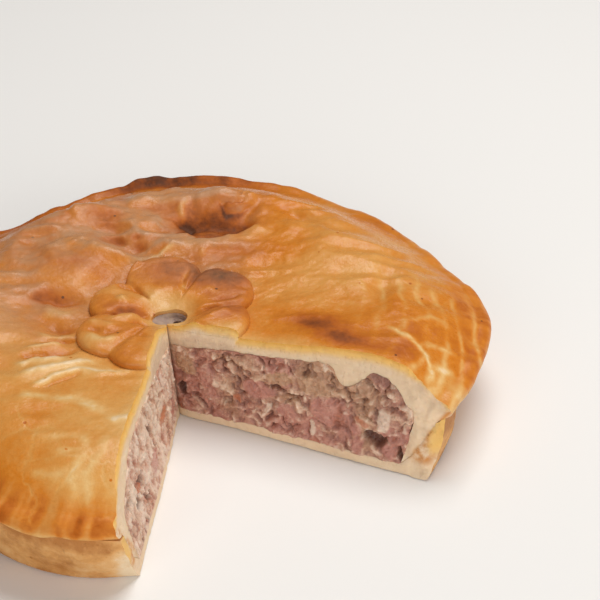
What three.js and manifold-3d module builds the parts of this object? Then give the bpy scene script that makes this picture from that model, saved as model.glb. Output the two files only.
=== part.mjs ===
// A round double-crust meat pie, made by hand, with one wedge cut out of it.
// Millimetres, +Z up. The origin is the middle of the flat underside, and the cut opens towards -Y and +X.
import * as THREE from "three";
import { mergeVertices } from "three/addons/utils/BufferGeometryUtils.js";
import Module from "manifold-3d";

const wasm = await Module();
wasm.setup();

// Bottom crust: a flat round sheet of dough with its edge turned up.
const BASE_RADIUS = 113.5;
const BASE_THICKNESS = 4.6;
const HEM_FOOT_RADIUS = 114.5;
const HEM_FOOT_HEIGHT = 0.8;
const HEM_BULGE_RADIUS = 118.5;
const HEM_TOP_RADIUS = 116.5;
const HEM_HEIGHT = 22;
const HEM_TOP_WIDTH = 2.6;
const HEM_STEPS = 4;
const HEM_ROOT_RADIUS = 106.5;
const HEM_ROOT_HEIGHT = 9;

// Lid: sunken in the middle, highest on a ring near the edge, with a round lip that laps over the hem.
const CENTRE_HEIGHT = 43;
const CROWN_HEIGHT = 48.5;
const CROWN_RADIUS = 88;
const LIP_RADIUS = 124;
const LIP_HEIGHT = 30.5;
const LIP_WIDTH = 6;
const LIP_HALF_HEIGHT = 4.5;
const LIP_END_ANGLE = -80;
const LIP_TOP_RADIUS = LIP_RADIUS - LIP_WIDTH;
const SHOULDER_DROP = CROWN_HEIGHT - LIP_HEIGHT - LIP_HALF_HEIGHT;
const GROOVE_RADIUS = 114;
const GROOVE_HEIGHT = 24.4;
const LID_THICKNESS = 6.5;
const CENTRE_THICKENING = 3;
const CENTRE_THICKENING_REACH = 16;
const SHOULDER_THICKENING = 2;

// A roll of dough hangs from the lid's underside at one side of the pie, its inner flank the steeper one.
const ROLL_RADIUS = 75;
const ROLL_DEPTH = 9;
const ROLL_INNER_REACH = 5;
const ROLL_OUTER_REACH = 8.5;
const ROLL_DIRECTION = -20;
const ROLL_SPREAD = 38;

// Inside of the lid's wall, from its foot on the bottom crust up to the underside.
const WALL_FOOT_RADIUS = 102.6;
const WALL_FOOT_HEIGHT = 6.5;
const WALL_WAIST_RADIUS = 103.8;
const WALL_WAIST_HEIGHT = 14;
const WALL_BULGE_RADIUS = 105;
const WALL_BULGE_HEIGHT = 25;
const WALL_BEND_RADIUS = 100.5;
const WALL_BEND_HEIGHT = 32;

// The filling has shrunk away from the lid at its outer shoulder.
const SHRINK_START_RADIUS = 84;
const SHRINK_DEPTH = 3;
const FILLING_SIDE_CLEARANCE = 1.4;

// Pieces that touch keep this clearance.
const GAP = 0.4;

// The cut: its tip and the directions of its two faces at the floor and at the top of the pie.
const CUT_TOP_HEIGHT = 48;
const TIP_FLOOR = new THREE.Vector2(-2.4, -12.7);
const TIP_TOP = new THREE.Vector2(-6.5, -8.8);
const LEFT_FACE_ANGLES = [-95.5, -97.9];
const RIGHT_FACE_ANGLES = [-22.6, -17.4];
const CUT_TIP_WIDTH = 1.2;
const CUT_LENGTH = 190;
const CUT_LOW = -6;
const CUT_HIGH = 66;
const CRUST_CUT = { lengthSteps: 14, heightSteps: 4, depth: 0.5, lump: 26 };
const FILLING_CUT = { lengthSteps: 52, heightSteps: 20, depth: 1.6, lump: 7 };
const LUMP_SHIFT_PER_FACE = 40;

// Flower cut from a sheet of dough, with round lobes about a steam hole. The lid has a well under the hole.
const FLOWER = new THREE.Vector2(-6, -3.2);
const FLOWER_THICKNESS = 5.2;
const FLOWER_EDGE = 1;
const FLOWER_HOLE_RADIUS = 6.6;
const FLOWER_LOBES = [
  { direction: 98, reach: 41, radius: 17 },
  { direction: 41, reach: 41, radius: 15.5 },
  { direction: -8, reach: 34, radius: 15 },
  { direction: -62, reach: 37, radius: 16 },
  { direction: -112, reach: 38, radius: 15 },
  { direction: -148, reach: 41, radius: 13.5 },
  { direction: 160, reach: 35, radius: 15 },
];
const FLOWER_INNER_SHARE = 0.7;
const FLOWER_EDGE_POWER = 8;
const FLOWER_CREASE = 0.3;
const FLOWER_CREASE_START = 0.8;
const FLOWER_ROUND_STEPS = 72;
const FLOWER_UNDER_STEPS = [0, 0.5, 1];
const FLOWER_TOP_STEPS = [1, 0.96, 0.88, 0.74, 0.55, 0.35, 0.14, 0];
const WELL_TOP_RADIUS = 6.4;
const WELL_BOTTOM_RADIUS = 2.4;
const WELL_HEIGHT = 37.5;
const VENT_LOW = 26;
const VENT_HIGH = 60;
const VENT_SEGMENTS = 20;

// Forms of the lid: puffs (rise above 0) and dents (below 0), each an oval hill.
// Centre, half length, half width, turn of the long axis in degrees, rise.
const LID_FORMS = [
  { x: -47, y: 29, long: 25, wide: 15, turn: -22, rise: 5 },
  { x: -40, y: 42, long: 26, wide: 5, turn: -33, rise: 2.6 },
  { x: -50, y: 6, long: 16, wide: 4, turn: 8, rise: -2.6 },
  { x: -26, y: 46, long: 10, wide: 4, turn: -30, rise: -2 },
  { x: 9, y: 65, long: 15, wide: 5, turn: 2, rise: -5.5 },
  { x: 25, y: 74, long: 7, wide: 3.5, turn: 60, rise: -3.5 },
  { x: 6, y: 84, long: 24, wide: 8, turn: -4, rise: 3 },
  { x: 9, y: 49, long: 18, wide: 6, turn: 0, rise: 2.4 },
  { x: -14, y: 50, long: 14, wide: 4, turn: -24, rise: 2.6 },
  { x: -18, y: 97, long: 18, wide: 3.5, turn: 6, rise: -2.4 },
  { x: -62, y: 66, long: 20, wide: 9, turn: 42, rise: 2.6 },
  { x: -54, y: -9, long: 13, wide: 4, turn: -24, rise: -1.8 },
  { x: -45, y: -22, long: 13, wide: 4, turn: -40, rise: -1.6 },
  { x: -46, y: -38, long: 18, wide: 5, turn: 30, rise: 1.4 },
  { x: -86, y: -14, long: 22, wide: 13, turn: 80, rise: 3.4 },
  { x: -72, y: -58, long: 20, wide: 10, turn: -42, rise: 1.8 },
  { x: 62, y: -16, long: 15, wide: 10, turn: -30, rise: 1.2 },
  { x: 62, y: 44, long: 26, wide: 12, turn: -52, rise: 3 },
  { x: 46, y: 70, long: 14, wide: 4, turn: -38, rise: -2.6 },
  { x: 84, y: 18, long: 18, wide: 5, turn: 75, rise: -2 },
];
const FORMS_CLEAR_OF_FLOWER = 36;
const FORMS_FULL_FROM_FLOWER = 47;

// Fine wrinkles of the lid, stronger at the back where it puffed up most.
const WRINKLE_LENGTH = 17;
const WRINKLE_DEPTH = 1.6;
const WRINKLE_FRONT_SHARE = 0.35;

// The shoulder is fuller at the front than at the back.
const SHOULDER_POWER = 1.9;

// Rim: a low bead on the lip, standing up as a fold at the back, uneven in height.
const BEAD_RADIUS = 119;
const BEAD_REACH = 3.4;
const RIM_LOBES = 23;
const RIM_LOBE_WANDER = 2;
const RIM_LOBE_DEPTH = 0.7;
const RIM_START_RADIUS = 108;

// Hand-made unevenness: where the round of the whole pie, of the lip, of the hem's top or of the wall inside
// it reaches out or falls short, and where the bead stands up.
// Direction and half width in degrees, reach in millimetres.
const SIDE_FORMS = [
  { direction: -121, width: 18, reach: 4.4 },
  { direction: -95, width: 9, reach: -4.5 },
  { direction: 126, width: 22, reach: -2.6 },
  { direction: 60, width: 34, reach: 2.4 },
  { direction: -172, width: 26, reach: 1.6 },
];
const LIP_FORMS = [
  { direction: 8, width: 13, reach: 7.5 },
  { direction: -25, width: 10, reach: -4 },
  { direction: 74, width: 14, reach: 2 },
  { direction: 101, width: 7, reach: 2.6 },
  { direction: 178, width: 22, reach: 2.4 },
];
const LIP_FORMS_START_RADIUS = 92;
const HEM_FORMS = [{ direction: -98, width: 15, reach: 4 }];
const WALL_FORMS = [{ direction: -98, width: 15, reach: 6.5 }];
const BEAD_FORMS = [
  { direction: 99, width: 22, reach: 4 },
  { direction: 122, width: 9, reach: 1.4 },
];
const LIP_DIPS = [{ direction: 124, width: 20, reach: -2.6 }];
const SWELL_LENGTH = 70;
const SWELL_SHIFT = new THREE.Vector2(5, 9);
const SWELL_HEIGHT = 2.4;

// Scatter of the noise that gives wrinkles, swells and lumps.
const LATTICE_STEP_X = 127.1;
const LATTICE_STEP_Y = 311.7;
const LATTICE_SCALE = 43758.5453;

const ROUND_STEPS = 84;
const LID_TOP_STEPS = 22;
const LIP_STEPS = 5;
const UNDERSIDE_RADII = [96, 90, 84, 79, 75, 70, 65, 45, 20, 0];
const UNDERSIDE_RADIUS = UNDERSIDE_RADII[0];

// Finish of each kind of surface.
const BAKED = { color: 0xc88f4a, roughness: 0.45, metalness: 0 };
const PALE = { color: 0xe3cba0, roughness: 0.75, metalness: 0 };
const MEAT = { color: 0xb98a86, roughness: 0.5, metalness: 0 };

// Rises from 0 to 1 with flat ends.
function smooth(t) {
  return THREE.MathUtils.smoothstep(t, 0, 1);
}

// Repeatable value between 0 and 1 at a lattice point.
function lattice(i, j) {
  const wave = LATTICE_SCALE * Math.sin(i * LATTICE_STEP_X + j * LATTICE_STEP_Y);
  return wave - Math.floor(wave);
}

// Smooth noise between 0 and 1, with features one unit long.
function noise(x, y) {
  const i = Math.floor(x);
  const j = Math.floor(y);
  const u = smooth(x - i);
  const v = smooth(y - j);
  const near = THREE.MathUtils.lerp(lattice(i, j), lattice(i + 1, j), u);
  const far = THREE.MathUtils.lerp(lattice(i, j + 1), lattice(i + 1, j + 1), u);
  return THREE.MathUtils.lerp(near, far, v);
}

// Share of the way from the crown out to the top of the lip.
function shoulder(radius) {
  return THREE.MathUtils.clamp((radius - CROWN_RADIUS) / (LIP_TOP_RADIUS - CROWN_RADIUS), 0, 1);
}

// Height of the plain lid, before its puffs and wrinkles, at a distance from the middle.
function lidTop(radius) {
  const rise = (CROWN_HEIGHT - CENTRE_HEIGHT) * smooth(radius / CROWN_RADIUS);
  return CENTRE_HEIGHT + rise - SHOULDER_DROP * smooth(shoulder(radius));
}

// How much fuller the shoulder is at a point than the plain lid.
function shoulderRelief(x, y) {
  const outward = shoulder(Math.hypot(x, y));
  const front = 1 - smooth(y / BASE_RADIUS);
  return front * SHOULDER_DROP * (smooth(outward) - outward ** SHOULDER_POWER);
}

// Height of the lid's plain underside.
function lidUnder(radius) {
  const middle = CENTRE_THICKENING * Math.exp(-((radius / CENTRE_THICKENING_REACH) ** 2));
  const edge = SHOULDER_THICKENING * THREE.MathUtils.smoothstep(radius, SHRINK_START_RADIUS, UNDERSIDE_RADIUS);
  return lidTop(radius) - LID_THICKNESS - middle - edge;
}

// Lowers a point of the lid's underside, or of the filling below it, by the hanging roll of dough.
function hung(point) {
  const radius = Math.hypot(point.x, point.y);
  const reach = radius < ROLL_RADIUS ? ROLL_INNER_REACH : ROLL_OUTER_REACH;
  const roll = sideReach([{ direction: ROLL_DIRECTION, width: ROLL_SPREAD, reach: ROLL_DEPTH }], point);
  const lowered = point.clone();
  lowered.z -= roll * Math.exp(-(((radius - ROLL_RADIUS) / reach) ** 2));
  return lowered;
}

// Height of one oval form of the lid at a point.
function hill(x, y, form) {
  const turn = THREE.MathUtils.degToRad(form.turn);
  const along = ((x - form.x) * Math.cos(turn) + (y - form.y) * Math.sin(turn)) / form.long;
  const across = ((y - form.y) * Math.cos(turn) - (x - form.x) * Math.sin(turn)) / form.wide;
  return form.rise * Math.exp(-along * along - across * across);
}

// Puffs, dents and wrinkles on the lid's upper face; the flower sits on a calm patch.
function lidRelief(x, y) {
  const fromFlower = Math.hypot(x - FLOWER.x, y - FLOWER.y);
  const calm = THREE.MathUtils.smoothstep(fromFlower, FORMS_CLEAR_OF_FLOWER, FORMS_FULL_FROM_FLOWER);
  const radius = Math.hypot(x, y);
  const inward = 1 - THREE.MathUtils.smoothstep(radius, CROWN_RADIUS, LIP_RADIUS);
  const forms = LID_FORMS.reduce((sum, form) => sum + hill(x, y, form), 0);
  const back = THREE.MathUtils.lerp(WRINKLE_FRONT_SHARE, 1, smooth((y + CROWN_RADIUS) / (2 * CROWN_RADIUS)));
  const ridge = 1 - 2 * Math.abs(2 * noise(x / WRINKLE_LENGTH, (2 * y) / WRINKLE_LENGTH) - 1);
  return calm * inward * (forms + WRINKLE_DEPTH * back * ridge);
}

// Uneven lip, with a bead that stands up as a fold at the back.
function rimRelief(x, y) {
  const radius = Math.hypot(x, y);
  const angle = Math.atan2(y, x);
  const bead = Math.exp(-(((radius - BEAD_RADIUS) / BEAD_REACH) ** 2));
  const lobes = RIM_LOBE_DEPTH * Math.sin(RIM_LOBES * angle + RIM_LOBE_WANDER * Math.sin(3 * angle));
  const outer = THREE.MathUtils.smoothstep(radius, RIM_START_RADIUS, LIP_RADIUS);
  return bead * sideReach(BEAD_FORMS, { x, y }) + outer * (lobes + sideReach(LIP_DIPS, { x, y }));
}

// How far a list of side forms reaches out at a point's direction from the middle.
function sideReach(forms, { x, y }) {
  const direction = THREE.MathUtils.radToDeg(Math.atan2(y, x));
  return forms.reduce((sum, form) => {
    const turn = THREE.MathUtils.euclideanModulo(direction - form.direction + 180, 360) - 180;
    return sum + form.reach * Math.exp(-((turn / form.width) ** 2));
  }, 0);
}

// Moves a point away from the axis, or towards it.
function pushed(point, distance) {
  const radius = Math.hypot(point.x, point.y);
  const stretch = radius > 0 ? 1 + distance / radius : 1;
  return new THREE.Vector3(point.x * stretch, point.y * stretch, point.z);
}

// Pushes a point of the hem, or of the lid's wall that lies against it, outwards: most at the hem's top.
function hemMoved(point) {
  return pushed(point, smooth(point.z / HEM_HEIGHT) * sideReach(HEM_FORMS, point));
}

// Pushes a point of the wall round the filling outwards.
function wallMoved(point) {
  return pushed(point, sideReach(WALL_FORMS, point));
}

// Shifts any point of the pie by its hand-made unevenness; the floor stays flat.
function uneven(point) {
  const outward = smooth(Math.hypot(point.x, point.y) / BASE_RADIUS);
  const moved = pushed(point, outward * sideReach(SIDE_FORMS, point));
  const swell = noise(point.x / SWELL_LENGTH + SWELL_SHIFT.x, point.y / SWELL_LENGTH + SWELL_SHIFT.y) - 0.5;
  moved.z += SWELL_HEIGHT * swell * smooth(point.z / CENTRE_HEIGHT);
  return moved;
}

// Moves every vertex of a geometry by a function of its position and index.
function reshape(geometry, move) {
  const position = geometry.attributes.position;
  const point = new THREE.Vector3();
  for (let i = 0; i < position.count; i += 1) {
    point.fromBufferAttribute(position, i);
    const moved = move(point, i);
    position.setXYZ(i, moved.x, moved.y, moved.z);
  }
  return geometry;
}

// Closes a geometry's seams and makes it a solid that can be cut.
function solidOf(geometry) {
  geometry.deleteAttribute("normal");
  geometry.deleteAttribute("uv");
  const merged = mergeVertices(geometry);
  const corners = Array.from(merged.index.array);
  const kept = [];
  for (let i = 0; i < corners.length; i += 3) {
    const [a, b, c] = corners.slice(i, i + 3);
    if (a !== b && b !== c && c !== a) {
      kept.push(a, b, c);
    }
  }
  const vertProperties = new Float32Array(merged.attributes.position.array);
  return new wasm.Manifold(new wasm.Mesh({ numProp: 3, vertProperties, triVerts: new Uint32Array(kept) }));
}

// Named mesh of a solid with its finish.
function meshOf(name, solid, finish) {
  const data = solid.getMesh();
  const geometry = new THREE.BufferGeometry();
  geometry.setAttribute("position", new THREE.BufferAttribute(data.vertProperties, data.numProp));
  geometry.setIndex(new THREE.BufferAttribute(data.triVerts, 1));
  geometry.computeVertexNormals();
  const mesh = new THREE.Mesh(geometry, new THREE.MeshStandardMaterial(finish));
  mesh.name = name;
  return mesh;
}

// Turns a profile, listed with the solid on its left, about +Z and shapes the result by hand.
function turned(profile, steps, move) {
  const geometry = new THREE.LatheGeometry(profile, steps).rotateX(Math.PI / 2);
  return solidOf(reshape(geometry, (point, i) => uneven(move(point, i % profile.length))));
}

const profilePoint = (radius, height) => new THREE.Vector2(radius, height);

// Direction of one face of the cut at a height, between its angles at the floor and at the top.
function faceDirection(angles, height) {
  const angle = THREE.MathUtils.lerp(angles[0], angles[1], height / CUT_TOP_HEIGHT);
  const turn = THREE.MathUtils.degToRad(angle);
  return new THREE.Vector2(Math.cos(turn), Math.sin(turn));
}

// The wedge that was taken out: leaning sides, a narrow tip, and lumps of the given depth on both faces.
function wedge({ lengthSteps, heightSteps, depth, lump }) {
  const block = new THREE.BoxGeometry(1, 1, 1, lengthSteps, 1, heightSteps);
  const middle = new THREE.Vector2();
  return solidOf(
    reshape(block, ({ x, y, z }) => {
      const side = Math.sign(y);
      const height = THREE.MathUtils.lerp(CUT_LOW, CUT_HIGH, z + 0.5);
      const distance = (x + 0.5) * CUT_LENGTH;
      const direction = faceDirection(side > 0 ? RIGHT_FACE_ANGLES : LEFT_FACE_ANGLES, height);
      const outward = new THREE.Vector2(-direction.y, direction.x).multiplyScalar(side);
      const lumps = depth * (2 * noise(distance / lump + LUMP_SHIFT_PER_FACE * side, height / lump) - 1);
      const tip = middle.lerpVectors(TIP_FLOOR, TIP_TOP, height / CUT_TOP_HEIGHT);
      const flat = tip.clone().addScaledVector(direction, distance);
      flat.addScaledVector(outward, CUT_TIP_WIDTH / 2 + lumps * smooth(distance / lump));
      return new THREE.Vector3(flat.x, flat.y, height);
    }),
  );
}

// Bottom crust with its turned-up hem.
function bottomCrust() {
  const profile = [
    profilePoint(0, 0),
    profilePoint(BASE_RADIUS / 2, 0),
    profilePoint(BASE_RADIUS, 0),
    ...new THREE.QuadraticBezierCurve(
      profilePoint(HEM_FOOT_RADIUS, HEM_FOOT_HEIGHT),
      profilePoint(HEM_BULGE_RADIUS, HEM_HEIGHT / 2),
      profilePoint(HEM_TOP_RADIUS, HEM_HEIGHT),
    ).getPoints(HEM_STEPS),
    profilePoint(HEM_TOP_RADIUS - HEM_TOP_WIDTH, HEM_HEIGHT),
    profilePoint(HEM_ROOT_RADIUS, HEM_ROOT_HEIGHT),
    profilePoint(WALL_FOOT_RADIUS, BASE_THICKNESS),
    profilePoint(BASE_RADIUS / 2, BASE_THICKNESS),
    profilePoint(0, BASE_THICKNESS),
  ];
  const innerRows = [profile.length - 4, profile.length - 3];
  return turned(profile, ROUND_STEPS, (point, index) => {
    if (innerRows.includes(index)) {
      return wallMoved(point);
    }
    return index < innerRows[0] ? hemMoved(point) : point;
  });
}

// Lid with its lip, wall and wrinkled upper face.
function topCrust() {
  const hemInner = HEM_TOP_RADIUS - HEM_TOP_WIDTH - GAP;
  const inside = [
    ...UNDERSIDE_RADII.toReversed().map((radius) => profilePoint(radius, lidUnder(radius))),
    profilePoint(WALL_BEND_RADIUS, WALL_BEND_HEIGHT),
    profilePoint(WALL_BULGE_RADIUS, WALL_BULGE_HEIGHT),
    profilePoint(WALL_WAIST_RADIUS, WALL_WAIST_HEIGHT),
    profilePoint(WALL_FOOT_RADIUS, WALL_FOOT_HEIGHT),
    profilePoint(HEM_ROOT_RADIUS - 2 * GAP, HEM_ROOT_HEIGHT),
    profilePoint(hemInner, HEM_HEIGHT),
    profilePoint(GROOVE_RADIUS, GROOVE_HEIGHT),
  ];
  const outside = [];
  for (let i = 0; i <= LIP_STEPS; i += 1) {
    const angle = THREE.MathUtils.degToRad(THREE.MathUtils.lerp(LIP_END_ANGLE, 90, i / LIP_STEPS));
    const radius = LIP_TOP_RADIUS + LIP_WIDTH * Math.cos(angle);
    outside.push(profilePoint(radius, LIP_HEIGHT + LIP_HALF_HEIGHT * Math.sin(angle)));
  }
  for (let i = 1; i <= LID_TOP_STEPS; i += 1) {
    const radius = LIP_TOP_RADIUS * (1 - i / LID_TOP_STEPS);
    outside.push(profilePoint(radius, lidTop(radius)));
  }
  const profile = [...inside, ...outside];
  const solid = turned(profile, ROUND_STEPS, (point, index) => {
    if (index < UNDERSIDE_RADII.length) {
      return hung(point);
    }
    if (index < inside.length) {
      return index < inside.length - 2 ? wallMoved(point) : hemMoved(point);
    }
    const { x, y } = point;
    const outer = THREE.MathUtils.smoothstep(Math.hypot(x, y), LIP_FORMS_START_RADIUS, LIP_TOP_RADIUS);
    const moved = pushed(point, outer * sideReach(LIP_FORMS, point));
    moved.z += lidRelief(x, y) + shoulderRelief(x, y) + rimRelief(x, y);
    return moved;
  });
  return solid.subtract(steamVent());
}

// Well in the lid under the flower's hole, with a narrow vent at its bottom.
function steamVent() {
  const profile = [
    profilePoint(0, VENT_LOW),
    profilePoint(WELL_BOTTOM_RADIUS, VENT_LOW),
    profilePoint(WELL_BOTTOM_RADIUS, WELL_HEIGHT),
    profilePoint(WELL_TOP_RADIUS, CENTRE_HEIGHT),
    profilePoint(WELL_TOP_RADIUS, VENT_HIGH),
    profilePoint(0, VENT_HIGH),
  ];
  const geometry = new THREE.LatheGeometry(profile, VENT_SEGMENTS).rotateX(Math.PI / 2);
  return solidOf(geometry.translate(FLOWER.x, FLOWER.y, 0));
}

// Minced filling between the two crusts.
function filling() {
  const floor = BASE_THICKNESS + GAP;
  const shrunk = (radius) => THREE.MathUtils.smoothstep(radius, SHRINK_START_RADIUS, UNDERSIDE_RADIUS);
  const top = (radius) => lidUnder(radius) - GAP - SHRINK_DEPTH * shrunk(radius);
  const profile = [
    profilePoint(0, floor),
    profilePoint(WALL_FOOT_RADIUS / 2, floor),
    profilePoint(WALL_FOOT_RADIUS - FILLING_SIDE_CLEARANCE, floor),
    profilePoint(WALL_WAIST_RADIUS - FILLING_SIDE_CLEARANCE, WALL_WAIST_HEIGHT),
    profilePoint(WALL_BULGE_RADIUS - 2 * FILLING_SIDE_CLEARANCE, WALL_BULGE_HEIGHT),
    profilePoint(WALL_BEND_RADIUS - FILLING_SIDE_CLEARANCE, WALL_BEND_HEIGHT - SHRINK_DEPTH),
    ...UNDERSIDE_RADII.map((radius) => profilePoint(radius, top(radius))),
  ];
  const sideEnd = profile.length - UNDERSIDE_RADII.length;
  return turned(profile, ROUND_STEPS, (point, index) => {
    if (index >= sideEnd) {
      return hung(point);
    }
    return index > 1 ? wallMoved(point) : point;
  });
}

// Distance from the flower's middle to the far side of a round lobe, in a direction.
function lobeReach({ direction, reach, radius }, angle) {
  const turn = angle - THREE.MathUtils.degToRad(direction);
  const centre = reach - radius;
  const side = centre * Math.sin(turn);
  return Math.abs(side) < radius ? centre * Math.cos(turn) + Math.sqrt(radius * radius - side * side) : 0;
}

// Flower: a ring one unit wide and high, stretched out to the lobes, creased between them, with round edges.
function pastryFlower() {
  const profile = [
    ...FLOWER_UNDER_STEPS.map((along) => profilePoint(1 + along, 0)),
    ...FLOWER_TOP_STEPS.map((along) => profilePoint(1 + along, 1)),
    profilePoint(1, 0),
  ];
  return turned(profile, FLOWER_ROUND_STEPS, (point) => {
    const angle = Math.atan2(point.y, point.x);
    const along = Math.hypot(point.x, point.y) - 1;
    const reaches = FLOWER_LOBES.map((lobe) => lobeReach(lobe, angle)).sort((a, b) => b - a);
    const between = THREE.MathUtils.smoothstep(reaches[1] / reaches[0], FLOWER_CREASE_START, 1);
    const crease = FLOWER_CREASE * between * smooth(2 * along);
    const radius = THREE.MathUtils.lerp(FLOWER_HOLE_RADIUS, reaches[0], along);
    const x = FLOWER.x + radius * Math.cos(angle);
    const y = FLOWER.y + radius * Math.sin(angle);
    const ground = lidTop(Math.hypot(x, y)) + lidRelief(x, y) + GAP;
    const inner = THREE.MathUtils.lerp(FLOWER_INNER_SHARE, 1, smooth(3 * along));
    const round = inner * Math.sqrt(Math.max(0, 1 - along ** FLOWER_EDGE_POWER));
    const puff = FLOWER_EDGE + (FLOWER_THICKNESS - FLOWER_EDGE) * round * (1 - crease);
    return new THREE.Vector3(x, y, ground + point.z * puff);
  });
}

const pie = new THREE.Group();
const crustWedge = wedge(CRUST_CUT);
pie.add(meshOf("bottom_crust", bottomCrust().subtract(crustWedge), PALE));
pie.add(meshOf("filling", filling().subtract(wedge(FILLING_CUT)), MEAT));
pie.add(meshOf("top_crust", topCrust().subtract(crustWedge), BAKED));
pie.add(meshOf("pastry_flower", pastryFlower().subtract(crustWedge), BAKED));

export default pie;
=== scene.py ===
# %% [markdown]
# # A sauerkraut and meat pie with one wedge cut out
#
# The real pie is made by hand: a round sheet of dough with its edge turned up, a minced filling of pork and
# ham with pale shreds in it, a lid that laps over the hem, and a flower of dough round the steam hole. Egg
# wash gives the lid its gold and its shine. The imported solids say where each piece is, and this lesson
# dresses them: every piece is made again from the same sizes with a far finer surface and its own finish.

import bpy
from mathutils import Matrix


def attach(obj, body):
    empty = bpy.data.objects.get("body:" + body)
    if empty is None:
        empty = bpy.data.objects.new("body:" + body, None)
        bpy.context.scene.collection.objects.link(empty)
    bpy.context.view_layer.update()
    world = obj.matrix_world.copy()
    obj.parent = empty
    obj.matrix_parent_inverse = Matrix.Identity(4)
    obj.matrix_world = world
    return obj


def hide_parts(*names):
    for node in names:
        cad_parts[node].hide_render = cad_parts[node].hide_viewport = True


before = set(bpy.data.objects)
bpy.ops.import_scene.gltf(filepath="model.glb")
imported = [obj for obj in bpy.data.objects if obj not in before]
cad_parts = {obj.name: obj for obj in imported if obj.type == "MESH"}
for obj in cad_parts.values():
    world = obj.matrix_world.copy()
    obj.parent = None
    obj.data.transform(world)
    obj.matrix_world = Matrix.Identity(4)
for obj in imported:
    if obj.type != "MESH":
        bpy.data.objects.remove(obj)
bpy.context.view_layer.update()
print("solids:", sorted(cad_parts))

# %% Tools of the lesson
import math

import bpy
import numpy as np

MM = 0.001
scene = bpy.context.scene
scene.view_settings.view_transform = "Standard"
print("Blender", bpy.app.version_string)

# %% [markdown]
# ## Camera
#
# The pie is seen from a little above, through a long lens. A camera could be aimed at the pie by a
# constraint, but its place in metres and its tilt in degrees are plain numbers here, so that nothing moves
# it later.

# %% Camera
CAMERA_PLACE = (0.0486, -0.5775, 0.4635)
CAMERA_TILT = 54.5
CAMERA_LENS = 102

camera = bpy.data.objects.new("camera", bpy.data.cameras.new("camera"))
camera.data.lens = CAMERA_LENS
camera.location = CAMERA_PLACE
camera.rotation_euler = (math.radians(CAMERA_TILT), 0, 0)
scene.collection.objects.link(camera)
scene.camera = camera
print("camera looks down by", 90 - CAMERA_TILT, "degrees")

# %% [markdown]
# ## Shader helpers
#
# Finishes are node trees. Wiring each link by hand makes long code, so a few small helpers add a node with
# its inputs in one line, do a sum, and turn a value into a colour.

# %% Nodes and sums
def add(tree, kind, inputs=None, **settings):
    """Adds a node. An input is a number, a colour or another node's socket."""
    made = tree.nodes.new("ShaderNode" + kind)
    for name, value in settings.items():
        setattr(made, name, value)
    for name, value in (inputs or {}).items():
        if isinstance(value, bpy.types.NodeSocket):
            tree.links.new(value, made.inputs[name])
        else:
            made.inputs[name].default_value = value
    return made


def maths(tree, operation, first, second=0.0, third=0.0):
    """One sum of two or three values."""
    return add(tree, "Math", {0: first, 1: second, 2: third}, operation=operation).outputs[0]


def total(tree, *values):
    """Adds up several values."""
    answer = values[0]
    for value in values[1:]:
        answer = maths(tree, "ADD", answer, value)
    return answer


def times(tree, first, second):
    """Product of two values."""
    return maths(tree, "MULTIPLY", first, second)


def vector(tree, operation, first, second=(0, 0, 0)):
    """One sum of two places."""
    return add(tree, "VectorMath", {0: first, 1: second}, operation=operation).outputs[0]


def span(tree, value, low, high, start=0.0, end=1.0):
    """Stretches the part of a value between low and high to run softly from start to end."""
    sockets = {0: value, 1: low, 2: high, 3: start, 4: end}
    return add(tree, "MapRange", sockets, interpolation_type="SMOOTHSTEP").outputs[0]


print("helpers for nodes and sums ready")

# %% Colours and materials
def ramp(tree, value, stops):
    """Turns a value into a colour by stops of place and colour."""
    made = add(tree, "ValToRGB", {0: value})
    elements = made.color_ramp.elements
    while len(elements) < len(stops):
        elements.new(1.0)
    for element, (place, colour) in zip(elements, stops):
        element.position = place
        element.color = (*colour, 1)
    return made.outputs[0]


def mixed(tree, share, first, second, mode="MIX"):
    """Mixes two colours."""
    made = add(tree, "Mix", {0: share}, data_type="RGBA", blend_type=mode)
    for index, value in ((6, first), (7, second)):
        if isinstance(value, bpy.types.NodeSocket):
            tree.links.new(value, made.inputs[index])
        else:
            made.inputs[index].default_value = (*value, 1)
    return made.outputs[2]


def painted(tree, name):
    """The value that a mesh carries under this name."""
    return add(tree, "Attribute", attribute_name=name).outputs["Fac"]


def new_material(name):
    """A material with a Principled shader, and its tree, shader and object coordinates."""
    material = bpy.data.materials.new(name)
    material.use_nodes = True
    tree = material.node_tree
    shader = tree.nodes["Principled BSDF"]
    place = add(tree, "TexCoord").outputs["Object"]
    return material, tree, shader, place


print("helpers for colours and materials ready")

# %% [markdown]
# ## Floor and light
#
# A pale floor, an even grey sky and three wide lamps stand for a bright studio. The lamp above and behind
# makes the glaze shine and gives soft shadows, the one in front lights the cut, and the one at the right
# brings out the folds. A photographed sky could light the pie too, but lamps are easier to move.

# %% Floor
FLOOR_HALF = 3.0
FLOOR_DROP = 0.0003
FLOOR_COLOUR = (0.86, 0.83, 0.79)
FLOOR_ROUGHNESS = 0.75

floor_mesh = bpy.data.meshes.new("floor")
corners = [(-1, -1), (1, -1), (1, 1), (-1, 1)]
floor_points = [(a * FLOOR_HALF, b * FLOOR_HALF, -FLOOR_DROP) for a, b in corners]
floor_mesh.from_pydata(floor_points, [], [(0, 1, 2, 3)])
floor = bpy.data.objects.new("floor", floor_mesh)
scene.collection.objects.link(floor)
floor_material, _, floor_shader, _ = new_material("pale floor")
floor_shader.inputs["Base Color"].default_value = (*FLOOR_COLOUR, 1)
floor_shader.inputs["Roughness"].default_value = FLOOR_ROUGHNESS
floor_mesh.materials.append(floor_material)
print("floor is", 2 * FLOOR_HALF, "m wide")

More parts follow.
